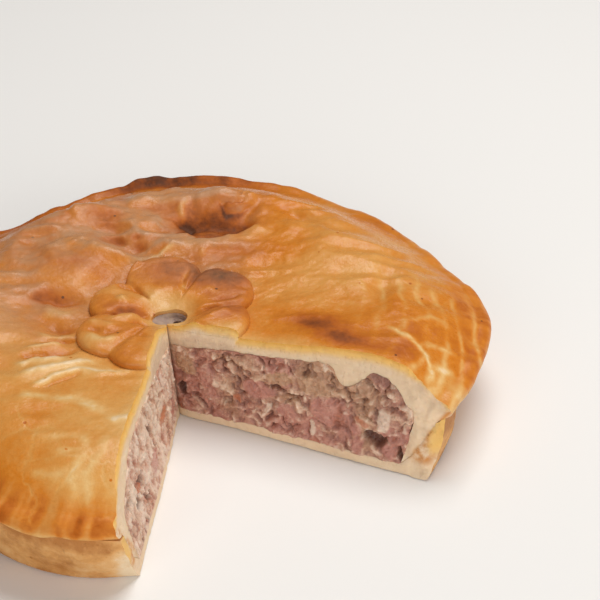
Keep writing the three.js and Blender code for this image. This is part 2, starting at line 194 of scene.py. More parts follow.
# %% Sky and lamps
SKY_COLOUR = (0.21, 0.21, 0.21)
SKY_STRENGTH = 0.60
LAMPS = [
    {"name": "top_lamp", "place": (0.26, 0.38, 1.25), "size": 0.8, "power": 13.6},
    {"name": "side_lamp", "place": (1.1, -0.55, 0.40), "size": 0.6, "power": 5.2},
    {"name": "front_lamp", "place": (-0.25, -1.3, 0.42), "size": 1.3, "power": 11.4},
]

world = bpy.data.worlds.new("studio")
scene.world = world
world.use_nodes = True
sky = world.node_tree.nodes["Background"].inputs
sky["Color"].default_value = (*SKY_COLOUR, 1)
sky["Strength"].default_value = SKY_STRENGTH

for lamp in LAMPS:
    light = bpy.data.lights.new(lamp["name"], "AREA")
    light.size = lamp["size"]
    light.energy = lamp["power"]
    holder = bpy.data.objects.new(lamp["name"], light)
    holder.location = lamp["place"]
    holder.rotation_euler = (-holder.location).to_track_quat("-Z", "Y").to_euler()
    scene.collection.objects.link(holder)
print("lamps:", len(LAMPS))

# %% [markdown]
# ## Sizes
#
# All sizes are in millimetres, as a cook's ruler gives them, and repeat the driving sizes of the solids.
# A pair is a distance from the axis and a height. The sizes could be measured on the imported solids, but a
# named size is easier to read and to change. Meshes are scaled to metres only when they are made.

# %% Sizes of the crusts
BASE_RADIUS = 113.5
BASE_THICKNESS = 4.6
HEM_FOOT = (114.5, 0.8)
HEM_BULGE_RADIUS = 118.5
HEM_TOP_RADIUS = 116.5
HEM_HEIGHT = 22
HEM_TOP_WIDTH = 2.6
HEM_ROOT = (106.5, 9)

CENTRE_HEIGHT = 43
CROWN_HEIGHT = 48.5
CROWN_RADIUS = 88
LIP_RADIUS = 124
LIP_HEIGHT = 30.5
LIP_WIDTH = 6
LIP_HALF_HEIGHT = 4.5
LIP_END_ANGLE = -80
LIP_TOP_RADIUS = LIP_RADIUS - LIP_WIDTH
SHOULDER_DROP = CROWN_HEIGHT - LIP_HEIGHT - LIP_HALF_HEIGHT
SHOULDER_POWER = 1.9
GROOVE = (114, 24.4)
LID_THICKNESS = 6.5
CENTRE_THICKENING = 3
CENTRE_THICKENING_REACH = 16
SHOULDER_THICKENING = 2
SHOULDER_THICKENING_START = 84
ROLL_RADIUS = 75
ROLL_INNER_REACH = 5
ROLL_OUTER_REACH = 8.5
ROLL_FLATNESS = 2.6
WALL_FOOT = (102.6, 4.9)
WALL_WAIST = (103.8, 14)
WALL_BULGE = (105, 25)
WALL_BEND = (100.5, 32)
UNDERSIDE_RADIUS = 96
GAP = 0.1
print("lid is", 2 * LIP_RADIUS, "mm across and", CROWN_HEIGHT, "mm high")

# %% [markdown]
# ## Unevenness
#
# Nothing on a hand-made pie is quite round or level. Smooth noise on a lattice of repeatable values gives
# swells, wrinkles and lumps, and a short list says where the round reaches out or falls short. Blender has
# noise of its own, but this one is the noise of the solids, so both agree.

# %% Soft steps and noise
LATTICE_STEP = (127.1, 311.7)
LATTICE_SCALE = 43758.5453
LAYER_TURN = 0.9
LAYER_SHIFT = 31.7


def smooth(t):
    """Rises from 0 to 1 with flat ends."""
    t = np.clip(t, 0, 1)
    return t * t * (3 - 2 * t)


def between(value, low, high):
    """Rises from 0 at low to 1 at high."""
    return smooth((value - low) / (high - low))


def bell(value, reach):
    """1 in the middle, falling softly to 0 beyond a reach on both sides."""
    return np.exp(-((value / reach) ** 2))


def lattice(i, j):
    """Repeatable value between 0 and 1 at a lattice point."""
    value = LATTICE_SCALE * np.sin(i * LATTICE_STEP[0] + j * LATTICE_STEP[1])
    return value - np.floor(value)


def noise(x, y):
    """Smooth noise between 0 and 1, with features one unit long."""
    i, j = np.floor(x), np.floor(y)
    u, v = smooth(x - i), smooth(y - j)
    near = lattice(i, j) * (1 - u) + lattice(i + 1, j) * u
    far = lattice(i, j + 1) * (1 - u) + lattice(i + 1, j + 1) * u
    return near * (1 - v) + far * v


def wave(x, y):
    """The same noise from -1 to 1."""
    return 2 * noise(x, y) - 1


def layered(x, y, size, layers=3):
    """Noise of several sizes, each half of the last and turned, from about -1 to 1."""
    answer = 0
    for layer in range(layers):
        c, s = math.cos(layer * LAYER_TURN), math.sin(layer * LAYER_TURN)
        scale = 2**layer / size
        u = (c * x - s * y) * scale + LAYER_SHIFT * (layer + 1)
        v = (s * x + c * y) * scale - LAYER_SHIFT
        answer = answer + wave(u, v) / 2**layer
    return answer


print("noise half-way between lattice points:", round(float(noise(0.5, 0.5)), 2))

# %% Places where the round is uneven
# Direction and width in degrees, and how far the dough reaches out, up or down there.
SIDE_FORMS = [(-121, 18, 4.4), (-95, 9, -4.5), (126, 22, -2.6), (60, 34, 2.4), (-172, 26, 1.6)]
LIP_FORMS = [(8, 13, 7.5), (-25, 10, -4), (74, 14, 2), (101, 7, 2.6), (178, 22, 2.4)]
LIP_DIPS = [(124, 20, -2.6), (-114, 16, -0.9)]
BEAD_FORMS = [(99, 22, 4), (122, 9, 1.4)]
HEM_FORMS = [(-98, 15, 4)]
WALL_FORMS = [(-98, 15, 6.5)]
ROLL_FORMS = [(-20, 38, 9)]


def turn_from(middle, direction):
    """Turn in degrees from one direction to another, the short way round."""
    return (direction - middle + 180) % 360 - 180


def side_reach(forms, x, y):
    """How far forms of direction, width (degrees) and reach stand out at a point's direction."""
    direction = np.degrees(np.arctan2(y, x))
    answer = 0
    for middle, width, reach in forms:
        answer = answer + reach * bell(turn_from(middle, direction), width)
    return answer


all_forms = [SIDE_FORMS, LIP_FORMS, LIP_DIPS, BEAD_FORMS, HEM_FORMS, WALL_FORMS, ROLL_FORMS]
print("uneven places:", sum(len(forms) for forms in all_forms))

# %% How the unevenness moves points
SWELL_LENGTH = 70
SWELL_SHIFT = (5, 9)
SWELL_HEIGHT = 2.4
NEARLY_ZERO = 1e-6


def pushed(points, distance):
    """Moves points away from the axis."""
    radius = np.hypot(points[:, 0], points[:, 1])
    stretch = 1 + distance / np.maximum(radius, NEARLY_ZERO)
    return points * np.stack([stretch, stretch, np.ones_like(stretch)], axis=1)


def hem_moved(points):
    """Pushes points of the hem, or of the lid's wall against it, outwards: most at the hem's top."""
    x, y, z = points.T
    return pushed(points, smooth(z / HEM_HEIGHT) * side_reach(HEM_FORMS, x, y))


def wall_moved(points):
    """Pushes points of the wall round the filling outwards, below the bend of the underside."""
    x, y, _ = points.T
    share = np.clip((np.hypot(x, y) - UNDERSIDE_RADIUS) / (WALL_BEND[0] - UNDERSIDE_RADIUS), 0, 1)
    return pushed(points, share * side_reach(WALL_FORMS, x, y))


def roll_drop(x, y):
    """How far a roll of dough hangs from the lid's underside; its inner flank is the steeper one."""
    aside = np.hypot(x, y) - ROLL_RADIUS
    reach = np.where(aside < 0, ROLL_INNER_REACH, ROLL_OUTER_REACH)
    return side_reach(ROLL_FORMS, x, y) * np.exp(-(np.abs(aside / reach) ** ROLL_FLATNESS))


def uneven(points):
    """Shifts points of the pie by its hand-made unevenness; the floor stays flat."""
    x, y, z = points.T
    outward = smooth(np.hypot(x, y) / BASE_RADIUS)
    moved = pushed(points, outward * side_reach(SIDE_FORMS, x, y))
    swell = noise(x / SWELL_LENGTH + SWELL_SHIFT[0], y / SWELL_LENGTH + SWELL_SHIFT[1]) - 0.5
    moved[:, 2] += SWELL_HEIGHT * swell * smooth(z / CENTRE_HEIGHT)
    return moved


print("slow swells are", SWELL_LENGTH, "mm long")

# %% [markdown]
# ## Relief of the lid
#
# The lid sank in the middle as it cooled, blistered at the far left, and wrinkled where the steam lifted
# it. Large puffs and dents are oval hills. Folds and cracks are paths with a soft cross-section, raised or
# sunk. Noise that is folded along its middle gives the wrinkles in between, and a blister that steam
# stretched stays smooth. The surface could be sculpted by hand, but formulas keep it repeatable.

# %% Puffs and dents of the lid
# Middle, half length, half width, turn of the long axis in degrees, and rise of each oval hill.
LID_FORMS = [
    (-47, 29, 25, 15, -22, 5),
    (-40, 42, 26, 5, -33, 2.6),
    (-50, 6, 16, 4, 8, -2.6),
    (-26, 46, 10, 4, -30, -2),
    (9, 65, 15, 5, 2, -5.5),
    (25, 74, 7, 3.5, 60, -3.5),
    (6, 84, 24, 8, -4, 3),
    (9, 49, 18, 6, 0, 2.4),
    (-14, 50, 14, 4, -24, 2.6),
    (-18, 97, 18, 3.5, 6, -2.4),
    (-62, 66, 20, 9, 42, 2.6),
    (-54, -9, 13, 4, -24, -1.8),
    (-45, -22, 13, 4, -40, -1.6),
    (-46, -38, 18, 5, 30, 1.4),
    (-86, -14, 22, 13, 80, 3.4),
    (-72, -58, 20, 10, -42, 1.8),
    (62, -16, 15, 10, -30, 1.2),
    (62, 44, 26, 12, -52, 3),
    (46, 70, 14, 4, -38, -2.6),
    (84, 18, 18, 5, 75, -2),
]


def hill(x, y, form):
    """Oval hill: middle, half length, half width, turn of the long axis in degrees, rise."""
    middle_x, middle_y, long, wide, turn, rise = form
    c, s = math.cos(math.radians(turn)), math.sin(math.radians(turn))
    along = ((x - middle_x) * c + (y - middle_y) * s) / long
    across = ((y - middle_y) * c - (x - middle_x) * s) / wide
    return rise * np.exp(-along * along - across * across)


print("puffs and dents:", len(LID_FORMS))

# %% Broad relief of the lid
FLOWER = (-6, -3.2)
FORMS_CLEAR_OF_FLOWER = 36
FORMS_FULL_FROM_FLOWER = 47
WRINKLE_LENGTH = 17
WRINKLE_STRETCH = 2
WRINKLE_DEPTH = 1.6
WRINKLE_ROUNDNESS = 0.16
WRINKLE_FRONT_SHARE = 0.35
# Ovals of stretched dough; the last number is the share of the wrinkles that is missing.
SMOOTH_PLACES = [(-47, 25, 26, 15, -15, 0.9), (66, -18, 34, 15, -25, 0.85)]


def backward(y):
    """Share by which the lid is wrinkled: full at the far side, less at the near side."""
    return WRINKLE_FRONT_SHARE + (1 - WRINKLE_FRONT_SHARE) * between(y, -CROWN_RADIUS, CROWN_RADIUS)


def wrinkle_share(x, y):
    """Share of the wrinkles that is left where the dough was stretched smooth."""
    return np.clip(1 - sum(hill(x, y, place) for place in SMOOTH_PLACES), 0, 1)


def from_flower(x, y):
    """Distance and direction of places from the flower's middle."""
    return np.hypot(x - FLOWER[0], y - FLOWER[1]), np.arctan2(y - FLOWER[1], x - FLOWER[0])


def lid_relief(x, y):
    """Puffs, dents and wrinkles; the flower sits on a calm patch."""
    calm = between(from_flower(x, y)[0], FORMS_CLEAR_OF_FLOWER, FORMS_FULL_FROM_FLOWER)
    inward = 1 - between(np.hypot(x, y), CROWN_RADIUS, LIP_RADIUS)
    forms = sum(hill(x, y, form) for form in LID_FORMS)
    fold = wave(x / WRINKLE_LENGTH, WRINKLE_STRETCH * y / WRINKLE_LENGTH)
    ridge = 1 - 2 * np.hypot(fold, WRINKLE_ROUNDNESS)
    return calm * inward * (forms + WRINKLE_DEPTH * backward(y) * wrinkle_share(x, y) * ridge)


print("places that steam stretched smooth:", len(SMOOTH_PLACES))

# %% Folds, cracks and pale stretch marks of the lid
# Rise in millimetres, width of the near and of the far slope, how pale the glaze is there, and the path.
LID_FOLDS = [
    (2.0, 9.0, 2.6, 0.1, [(-66, 39), (-57, 44), (-49, 44), (-42, 41), (-36, 38), (-30, 36), (-20, 29)]),
    (-1.5, 1.8, 3.0, 0.0, [(-40, 47), (-36, 50), (-29, 49)]),
    (-1.1, 1.4, 3.0, 0.0, [(-28, 52), (-20, 51)]),
    (-1.1, 1.4, 2.6, 0.0, [(-27, 46), (-18, 46)]),
    (2.2, 7.0, 5.0, 0.2, [(-56, 68), (-48, 72), (-38, 73), (-30, 71), (-22, 68), (-13, 66)]),
    (1.5, 3.4, 4.0, 0.3, [(-32, 80), (-22, 82), (-12, 83), (-3, 82)]),
    (0.7, 1.4, 1.4, 1.0, [(-3, 84), (-5, 76), (-7, 69)]),
    (-1.6, 1.3, 2.0, 0.0, [(-10, 69), (-1, 66), (-3, 61)]),
    (-1.9, 2.2, 5.0, 0.0, [(-6, 62), (0, 57), (5, 55), (13, 56), (21, 62), (29, 67)]),
    (1.4, 5.0, 1.8, 0.2, [(-12, 50), (-4, 52), (4, 51), (14, 51), (24, 57), (30, 62)]),
    (2.0, 8.0, 4.0, 0.0, [(-2, 81), (8, 83), (18, 82), (30, 80)]),
    (-1.3, 1.2, 1.2, 0.0, [(27, 80), (14, 76), (15, 71), (20, 73), (28, 78)]),
    (-1.1, 1.0, 1.0, 0.0, [(14, 86), (21, 84), (21, 78), (26, 85)]),
    (0.8, 1.6, 1.2, 0.8, [(-28, 35), (-21, 37), (-14, 39), (-8, 45), (-4, 50)]),
    (0.8, 1.6, 1.2, 0.5, [(4, 46), (7, 41)]),
    (-1.5, 3.0, 5.0, 0.0, [(-66, 10), (-58, 7), (-50, 6), (-42, 8)]),
    (-1.0, 1.2, 1.2, 0.0, [(-44, 8), (-42, 8)]),
    (1.0, 3.0, 3.0, 0.4, [(-60, 0), (-52, -3), (-44, -2)]),
    (-1.7, 1.5, 2.2, 0.0, [(-55, -10), (-50, -14), (-43, -13)]),
    (1.1, 1.6, 2.2, 0.6, [(-60, -18), (-52, -19), (-44, -17)]),
    (-1.0, 1.2, 1.6, 0.0, [(-58, -23), (-50, -23), (-43, -20)]),
    (1.0, 1.2, 1.6, 0.8, [(-62, -27), (-54, -27), (-47, -26)]),
    (-1.5, 1.6, 2.4, 0.0, [(-64, -34), (-54, -33), (-46, -30), (-40, -29)]),
    (0.9, 1.8, 1.6, 1.0, [(-66, -40), (-56, -38), (-46, -34)]),
    (0.6, 1.6, 1.6, 1.0, [(-62, -47), (-52, -43), (-42, -38), (-34, -36)]),
    (0.8, 1.6, 1.6, 1.0, [(-56, -53), (-48, -47), (-40, -43), (-28, -42), (-18, -42)]),
    (-0.9, 1.2, 1.6, 0.0, [(-52, -53), (-43, -48), (-36, -45)]),
    (0.3, 2.4, 2.4, 1.0, [(-62, -62), (-48, -61), (-36, -63), (-26, -70)]),
    (0.3, 2.8, 2.8, 1.3, [(-26, -77), (-21, -74), (-15, -73)]),
    (0.2, 2.2, 2.2, 0.65, [(-32, -84), (-33, -93), (-34, -99), (-36, -111)]),
    (0.2, 2.2, 2.2, 0.65, [(-25, -85), (-27, -96), (-30, -102), (-31, -113)]),
    (0.2, 1.5, 1.5, 0.5, [(-43, -93), (-28, -94)]),
    (0.2, 1.5, 1.5, 0.5, [(-54, -100), (-41, -102), (-36, -100)]),
    (0.2, 1.5, 1.5, 0.4, [(-54, -84), (-41, -84), (-32, -86)]),
    (0.3, 1.4, 1.4, 1.6, [(85, -12), (90, -18), (96, -23), (101, -29), (102, -35), (99, -43)]),
    (0.3, 1.3, 1.3, 1.2, [(101, -35), (107, -33), (113, -29)]),
    (0.3, 1.3, 1.3, 1.1, [(96, -23), (104, -20), (113, -20)]),
    (0.3, 1.3, 1.3, 0.6, [(90, -18), (93, -8), (102, -4), (112, -6)]),
]

print("folds and cracks:", len(LID_FOLDS))

# %% How a fold follows its path
FOLD_WANDER = 1.5
FOLD_WANDER_SIZE = 9
FOLD_TAPER = 5
FOLD_END_SHARE = 0.2
FOLD_UNEVENNESS = 12
FOLD_WEAKEST = 0.6
FOLD_VARIETY = 0.8


def along_path(x, y, path):
    """Distance from a path, positive on its left, and the length from its nearer end."""
    distance = np.full(np.shape(x), np.inf)
    length = np.zeros(np.shape(x))
    side = np.zeros(np.shape(x))
    start = 0
    for (ax, ay), (bx, by) in zip(path, path[1:]):
        dx, dy = bx - ax, by - ay
        size = math.hypot(dx, dy)
        t = np.clip(((x - ax) * dx + (y - ay) * dy) / size**2, 0, 1)
        here = np.hypot(x - ax - t * dx, y - ay - t * dy)
        closer = here < distance
        length = np.where(closer, start + t * size, length)
        side = np.where(closer, np.sign(dx * (y - ay) - dy * (x - ax)), side)
        distance = np.minimum(distance, here)
        start += size
    return distance * side, np.minimum(length, start - length)


def folded(x, y, folds):
    """Rise and paleness that a list of folds gives at points; every path wanders and its height varies."""
    u = x + FOLD_WANDER * layered(x, y, FOLD_WANDER_SIZE)
    v = y + FOLD_WANDER * layered(y, x, FOLD_WANDER_SIZE)
    strength = FOLD_WEAKEST + FOLD_VARIETY * noise(x / FOLD_UNEVENNESS, y / FOLD_UNEVENNESS)
    rise, pale = 0, 0
    for height, near, far, paleness, path in folds:
        distance, length = along_path(u, v, path)
        width = np.where(distance > 0, far, near)
        taper = smooth(length / FOLD_TAPER + FOLD_END_SHARE)
        section = bell(distance, width) * taper
        rise = rise + height * strength * section
        pale = np.maximum(pale, paleness * section)
    return rise, pale


print("folds taper over their last", FOLD_TAPER * (1 - FOLD_END_SHARE), "mm")

# %% Wrinkles and skin of the lid
CRUMPLE = {"size": 24, "stretch": 1.5, "sharpness": WRINKLE_ROUNDNESS, "level": 0.5}
CRUMPLE_DEPTH = 0.9
CREASE = {"size": 9, "stretch": 1.6, "sharpness": 0.07, "level": 0.4}
CREASE_DEPTH = 0.65
CRINKLE = {"size": 4.4, "stretch": 1.8, "sharpness": 0.07, "level": 0.4, "layers": 2}
CRINKLE_DEPTH = 0.34
CRINKLE_PATCH_SIZE = 24
CRINKLE_PATCHES = (0.3, 0.7)
WRINKLES_BACK = (-45, 35)
WRINKLES_RIGHT = (20, 60)
FEWER_WRINKLES_RIGHT = 0.7
SKIN_SIZE = 8
SKIN_DEPTH = 0.30
GRAIN_SIZE = 2.6
GRAIN_DEPTH = 0.07
SKIN_START_FROM_FLOWER = 26
FOLDS_FADE = (LIP_TOP_RADIUS - 6, 122)
RIM_FOLD_SPACING = 5.5
RIM_FOLD_LENGTH = 30
RIM_FOLD_DEPTH = 0.55
RIM_FOLD_START = (107, 117)


def crests(x, y, size, stretch, sharpness, level, layers=3):
    """Noise folded along its middle: narrow crests with round valleys between them."""
    return level - np.hypot(layered(x, stretch * y, size, layers), sharpness)


def lid_wrinkles(x, y):
    """Crumples, creases and crinkles of three sizes, most of them at the far left."""
    patches = noise(x / CRINKLE_PATCH_SIZE, y / CRINKLE_PATCH_SIZE)
    crinkles = between(patches, *CRINKLE_PATCHES) * crests(x, y, **CRINKLE)
    rise = CRUMPLE_DEPTH * crests(x, y, **CRUMPLE) + CREASE_DEPTH * crests(x, y, **CREASE)
    share = between(y, *WRINKLES_BACK) * (1 - FEWER_WRINKLES_RIGHT * between(x, *WRINKLES_RIGHT))
    return share * wrinkle_share(x, y) * (rise + CRINKLE_DEPTH * crinkles)


def rim_folds(x, y):
    """Small upright folds where the lip bends down."""
    radius = np.hypot(x, y)
    around = np.arctan2(y, x) * LIP_RADIUS / RIM_FOLD_SPACING
    return RIM_FOLD_DEPTH * between(radius, *RIM_FOLD_START) * wave(around, radius / RIM_FOLD_LENGTH)


def lid_skin(x, y):
    """Fine relief: folds and cracks, wrinkles, and the soft lumps of the skin."""
    clear = between(from_flower(x, y)[0], SKIN_START_FROM_FLOWER, FORMS_CLEAR_OF_FLOWER)
    inside = 1 - between(np.hypot(x, y), *FOLDS_FADE)
    folds = folded(x, y, LID_FOLDS)[0] + lid_wrinkles(x, y)
    lumps = SKIN_DEPTH * backward(y) * layered(x, y, SKIN_SIZE)
    grains = GRAIN_DEPTH * layered(x, y, GRAIN_SIZE, layers=2)
    return clear * (inside * folds + lumps + grains) + rim_folds(x, y)


print("depths of crumples, creases and crinkles:", CRUMPLE_DEPTH, CREASE_DEPTH, CRINKLE_DEPTH, "mm")

# %% Height of the lid
BEAD_RADIUS = 119
BEAD_REACH = 3.4
RIM_LOBES = 23
RIM_LOBE_WANDER = 2
RIM_LOBE_WANDERS = 3
RIM_LOBE_DEPTH = 0.7
RIM_START_RADIUS = 108
THINNEST_LID = 2.5


def shoulder(radius):
    """Share of the way from the crown out to the top of the lip."""
    return np.clip((radius - CROWN_RADIUS) / (LIP_TOP_RADIUS - CROWN_RADIUS), 0, 1)


def lid_top(radius):
    """Height of the plain lid."""
    rise = (CROWN_HEIGHT - CENTRE_HEIGHT) * smooth(radius / CROWN_RADIUS)
    return CENTRE_HEIGHT + rise - SHOULDER_DROP * smooth(shoulder(radius))


def lid_under(radius):
    """Height of the lid's plain underside."""
    middle = CENTRE_THICKENING * bell(radius, CENTRE_THICKENING_REACH)
    edge = SHOULDER_THICKENING * between(radius, SHOULDER_THICKENING_START, UNDERSIDE_RADIUS)
    return lid_top(radius) - LID_THICKNESS - middle - edge


def shoulder_relief(x, y):
    """How much fuller the near shoulder is than the plain lid."""
    outward = shoulder(np.hypot(x, y))
    return (1 - smooth(y / BASE_RADIUS)) * SHOULDER_DROP * (smooth(outward) - outward**SHOULDER_POWER)


def rim_relief(x, y):
    """Uneven lip, with a bead that stands up as a fold at the far side of the pie."""
    radius = np.hypot(x, y)
    angle = np.arctan2(y, x)
    bead = bell(radius - BEAD_RADIUS, BEAD_REACH)
    wander = RIM_LOBE_WANDER * np.sin(RIM_LOBE_WANDERS * angle)
    lobes = RIM_LOBE_DEPTH * np.sin(RIM_LOBES * angle + wander)
    outer = between(radius, RIM_START_RADIUS, LIP_RADIUS)
    return bead * side_reach(BEAD_FORMS, x, y) + outer * (lobes + side_reach(LIP_DIPS, x, y))


def lid_height(x, y):
    """Height of the lid's upper face without its fine skin."""
    return lid_top(np.hypot(x, y)) + lid_relief(x, y) + shoulder_relief(x, y) + rim_relief(x, y)


def under_dents(x, y, height):
    """Lowers heights inside the pie where a dent of the lid would leave it too thin."""
    return np.minimum(height, lid_height(x, y) + lid_skin(x, y) - THINNEST_LID)


def surface_height(x, y):
    """Height of the crust's upper face, flower and slow swell included, at places on the finished pie."""
    height = lid_height(x, y) + flower_height(x, y)
    points = np.stack([np.ravel(x), np.ravel(y), np.ravel(height)], axis=1)
    return uneven(points)[:, 2].reshape(np.shape(x))


print("lid at its crown:", round(float(lid_top(CROWN_RADIUS)), 1), "mm")

# %% [markdown]
# ## Form of the flower
#
# A cut-out of dough with round lobes was laid round the steam hole and pressed on. It is a ring stretched
# out to the lobes, thickest near the middle of each lobe, with the dips and folds of fingers and of steam.
# A flat outline with a bevel would be quicker, but it would look stamped and not pressed on by hand.

# %% Lobes of the flower
# Direction in degrees, reach from the flower's middle, and radius of each lobe.
FLOWER_LOBES = [
    (98, 41, 17),
    (41, 41, 15.5),
    (-8, 34, 15),
    (-62, 37, 16),
    (-112, 38, 15),
    (-148, 41, 13.5),
    (160, 35, 15),
]


def lobe_reach(lobe, angle):
    """Distance from the flower's middle to the far side of a round lobe, in a direction."""
    direction, reach, radius = lobe
    turn = angle - math.radians(direction)
    middle = reach - radius
    aside = middle * np.sin(turn)
    far = middle * np.cos(turn) + np.sqrt(np.maximum(radius * radius - aside * aside, 0))
    return np.where(np.abs(aside) < radius, far, 0)


def flower_reach(angle):
    """Reach of the longest and of the second lobe in a direction."""
    reaches = np.sort(np.stack([lobe_reach(lobe, angle) for lobe in FLOWER_LOBES]), axis=0)
    return reaches[-1], reaches[-2]


print("flower has", len(FLOWER_LOBES), "lobes")

# %% Round of the steam hole
FLOWER_HOLE_RADIUS = 6.6
HOLE_UNEVENNESS = 0.16
HOLE_TURN = 1
HOLE_FLAT_DIRECTION = -95
HOLE_FLAT_WIDTH = 50
HOLE_FLAT = 0.26


def hole_form(angle):
    """Share of its radius that the steam hole has in a direction: uneven, and flat towards the cut."""
    oval = HOLE_UNEVENNESS * np.sin(2 * angle + HOLE_TURN)
    return 1 + oval - HOLE_FLAT * bell(turn_from(HOLE_FLAT_DIRECTION, np.degrees(angle)), HOLE_FLAT_WIDTH)


print("the hole is up to", round(FLOWER_HOLE_RADIUS * (1 + HOLE_UNEVENNESS), 1), "mm in radius")

# %% Folds of the flower
# Rise, width of the near and of the far slope, paleness and path, as for the folds of the lid.
FLOWER_FOLDS = [
    (-3.0, 1.6, 2.4, 0.0, [(-31, -5), (-25, -3), (-20, -2), (-14, -3)]),
    (1.8, 1.5, 1.8, 0.6, [(-29, 3), (-26, 5), (-23, 3)]),
    (1.2, 3.0, 2.0, 0.3, [(-33, -9), (-26, -8), (-18, -8)]),
    (-2.2, 1.4, 1.8, 0.0, [(-24, -12), (-18, -10), (-13, -11)]),
    (1.2, 3.5, 2.0, 0.4, [(-40, -12), (-33, -13), (-26, -14)]),
    (-1.2, 1.6, 2.0, 0.0, [(-40, -19), (-32, -19), (-24, -19)]),
    (0.9, 2.4, 2.0, 0.6, [(-39, -24), (-32, -24), (-25, -24)]),
    (-1.2, 1.6, 2.0, 0.2, [(-20, -21), (-12, -22)]),
    (-0.9, 1.5, 1.5, 0.9, [(-1, 12), (-1, 20), (0, 28)]),
    (1.6, 5.0, 2.2, 0.1, [(-21, 33), (-14, 37), (-6, 38), (2, 34)]),
    (1.6, 5.0, 2.2, 0.1, [(8, 31), (15, 34), (22, 31)]),
    (-1.4, 1.5, 2.4, 0.0, [(3, -4), (9, -2), (15, 2)]),
    (1.2, 2.0, 1.5, 0.2, [(8, -9), (14, -6), (21, -2)]),
    (-1.1, 1.6, 1.6, 0.0, [(9, 5), (16, 8), (22, 9)]),
    (0.9, 1.6, 1.6, 0.3, [(8, 11), (15, 14)]),
    (-1.2, 1.8, 2.2, 0.0, [(-30, 17), (-22, 12), (-14, 7)]),
]

print("folds of the flower:", len(FLOWER_FOLDS))

# %% Height of the flower
FLOWER_THICKNESS = 5.2
FLOWER_EDGE = 1
FLOWER_INNER_SHARE = 0.15
FLOWER_EDGE_POWER = 8
FLOWER_CREASE = 0.34
FLOWER_CREASE_WIDTH = 0.1
FLOWER_CREASE_RISE = 2
FLOWER_INNER_RISE = 3
FLOWER_LUMP_SIZE = 13
FLOWER_LUMP_DEPTH = 0.6


def flower_height(x, y):
    """How high the flower stands over the lid: nothing outside its lobes."""
    distance, angle = from_flower(x, y)
    first, second = flower_reach(angle)
    along = (distance - FLOWER_HOLE_RADIUS) / (first - FLOWER_HOLE_RADIUS)
    share = np.clip(along, 0, 1)
    meeting = bell(1 - second / first, FLOWER_CREASE_WIDTH)
    crease = FLOWER_CREASE * meeting * smooth(FLOWER_CREASE_RISE * share)
    inner = FLOWER_INNER_SHARE + (1 - FLOWER_INNER_SHARE) * smooth(FLOWER_INNER_RISE * share)
    edge = np.sqrt(np.maximum(0, 1 - share**FLOWER_EDGE_POWER))
    puff = FLOWER_EDGE + (FLOWER_THICKNESS - FLOWER_EDGE) * inner * edge * (1 - crease)
    lumps = folded(x, y, FLOWER_FOLDS)[0] + FLOWER_LUMP_DEPTH * layered(x, y, FLOWER_LUMP_SIZE)
    return np.where(along <= 1, np.maximum(puff + edge * lumps, FLOWER_EDGE), 0)


print("flower is about", FLOWER_THICKNESS, "mm thick")

# %% [markdown]
# ## Meshes from arrays
#
# A pie is a turned shape, so each crust starts as a profile turned about the upright axis, dense enough
# for wrinkles, and is then shaped point by point. Modifiers could do that too, but arrays shape a hundred
# thousand points at once by the formulas above.

# %% Helpers for turned meshes
def mesh_piece(name, points, faces):
    """A mesh object from points in millimetres."""
    mesh = bpy.data.meshes.new(name)
    mesh.from_pydata((np.asarray(points) * MM).tolist(), [], faces)
    piece = bpy.data.objects.new(name, mesh)
    scene.collection.objects.link(piece)
    return piece


def ring_faces(rows, steps, first, closed=False):
    """Quads between rings of points, the rings listed with the solid on their left."""
    step = np.arange(steps)
    faces = []
    for row in range(rows if closed else rows - 1):
        a = first + row * steps + step
        b = first + row * steps + (step + 1) % steps
        over = first + ((row + 1) % rows) * steps
        faces += np.stack([a, b, over + (step + 1) % steps, over + step], axis=1).tolist()
    return faces


def turned(name, profile, steps, move):
    """Closed mesh of a profile that starts and ends on the axis, each point then moved by its row."""
    profile = np.asarray(profile, float)
    turn = np.arange(steps) * 2 * math.pi / steps
    radius, height = profile[1:-1].T
    sideways = np.outer(radius, np.cos(turn)).ravel()
    backwards = np.outer(radius, np.sin(turn)).ravel()
    rings = np.stack([sideways, backwards, np.repeat(height, steps)], axis=1)
    points = np.vstack([[0, 0, profile[0, 1]], rings, [0, 0, profile[-1, 1]]])
    rows = np.concatenate([[0], np.repeat(np.arange(1, len(profile) - 1), steps), [len(profile) - 1]])
    faces = ring_faces(len(radius), steps, 1)
    last = len(points) - 1
    for i in range(steps):
        j = (i + 1) % steps
        faces.append([0, 1 + j, 1 + i])
        faces.append([last, last - steps + i, last - steps + j])
    return mesh_piece(name, move(points, rows), faces)


def rounded(points, steps):
    """A smooth curve through a few points."""
    points = np.asarray(points, float)
    ends = np.vstack([2 * points[0] - points[1], points, 2 * points[-1] - points[-2]])
    t = np.linspace(0, 1, steps, endpoint=False)[:, None]
    curve = []
    for a, b, c, d in zip(ends, ends[1:], ends[2:], ends[3:]):
        bend = 2 * a - 5 * b + 4 * c - d
        twist = 3 * b - a - 3 * c + d
        curve.append(0.5 * (2 * b + (c - a) * t + bend * t**2 + twist * t**3))
    return np.vstack([*curve, points[-1:]])


print("helpers for turned meshes ready")

# %% Helpers for finished meshes
def read_points(piece):
    """All points of a piece in millimetres."""
    flat = np.empty(3 * len(piece.data.vertices), np.float32)
    piece.data.vertices.foreach_get("co", flat)
    return flat.reshape(-1, 3).astype(float) / MM


def paint(piece, **values):
    """Stores values, one for each point, on a mesh under their names."""
    for name, value in values.items():
        layer = piece.data.attributes.new(name, "FLOAT", "POINT")
        layer.data.foreach_set("value", np.asarray(value, np.float32))


def smooth_shaded(piece, sharp_degrees):
    """Shades a piece smoothly, apart from its sharp edges."""
    piece.data.shade_smooth()
    piece.data.set_sharp_from_angle(angle=math.radians(sharp_degrees))


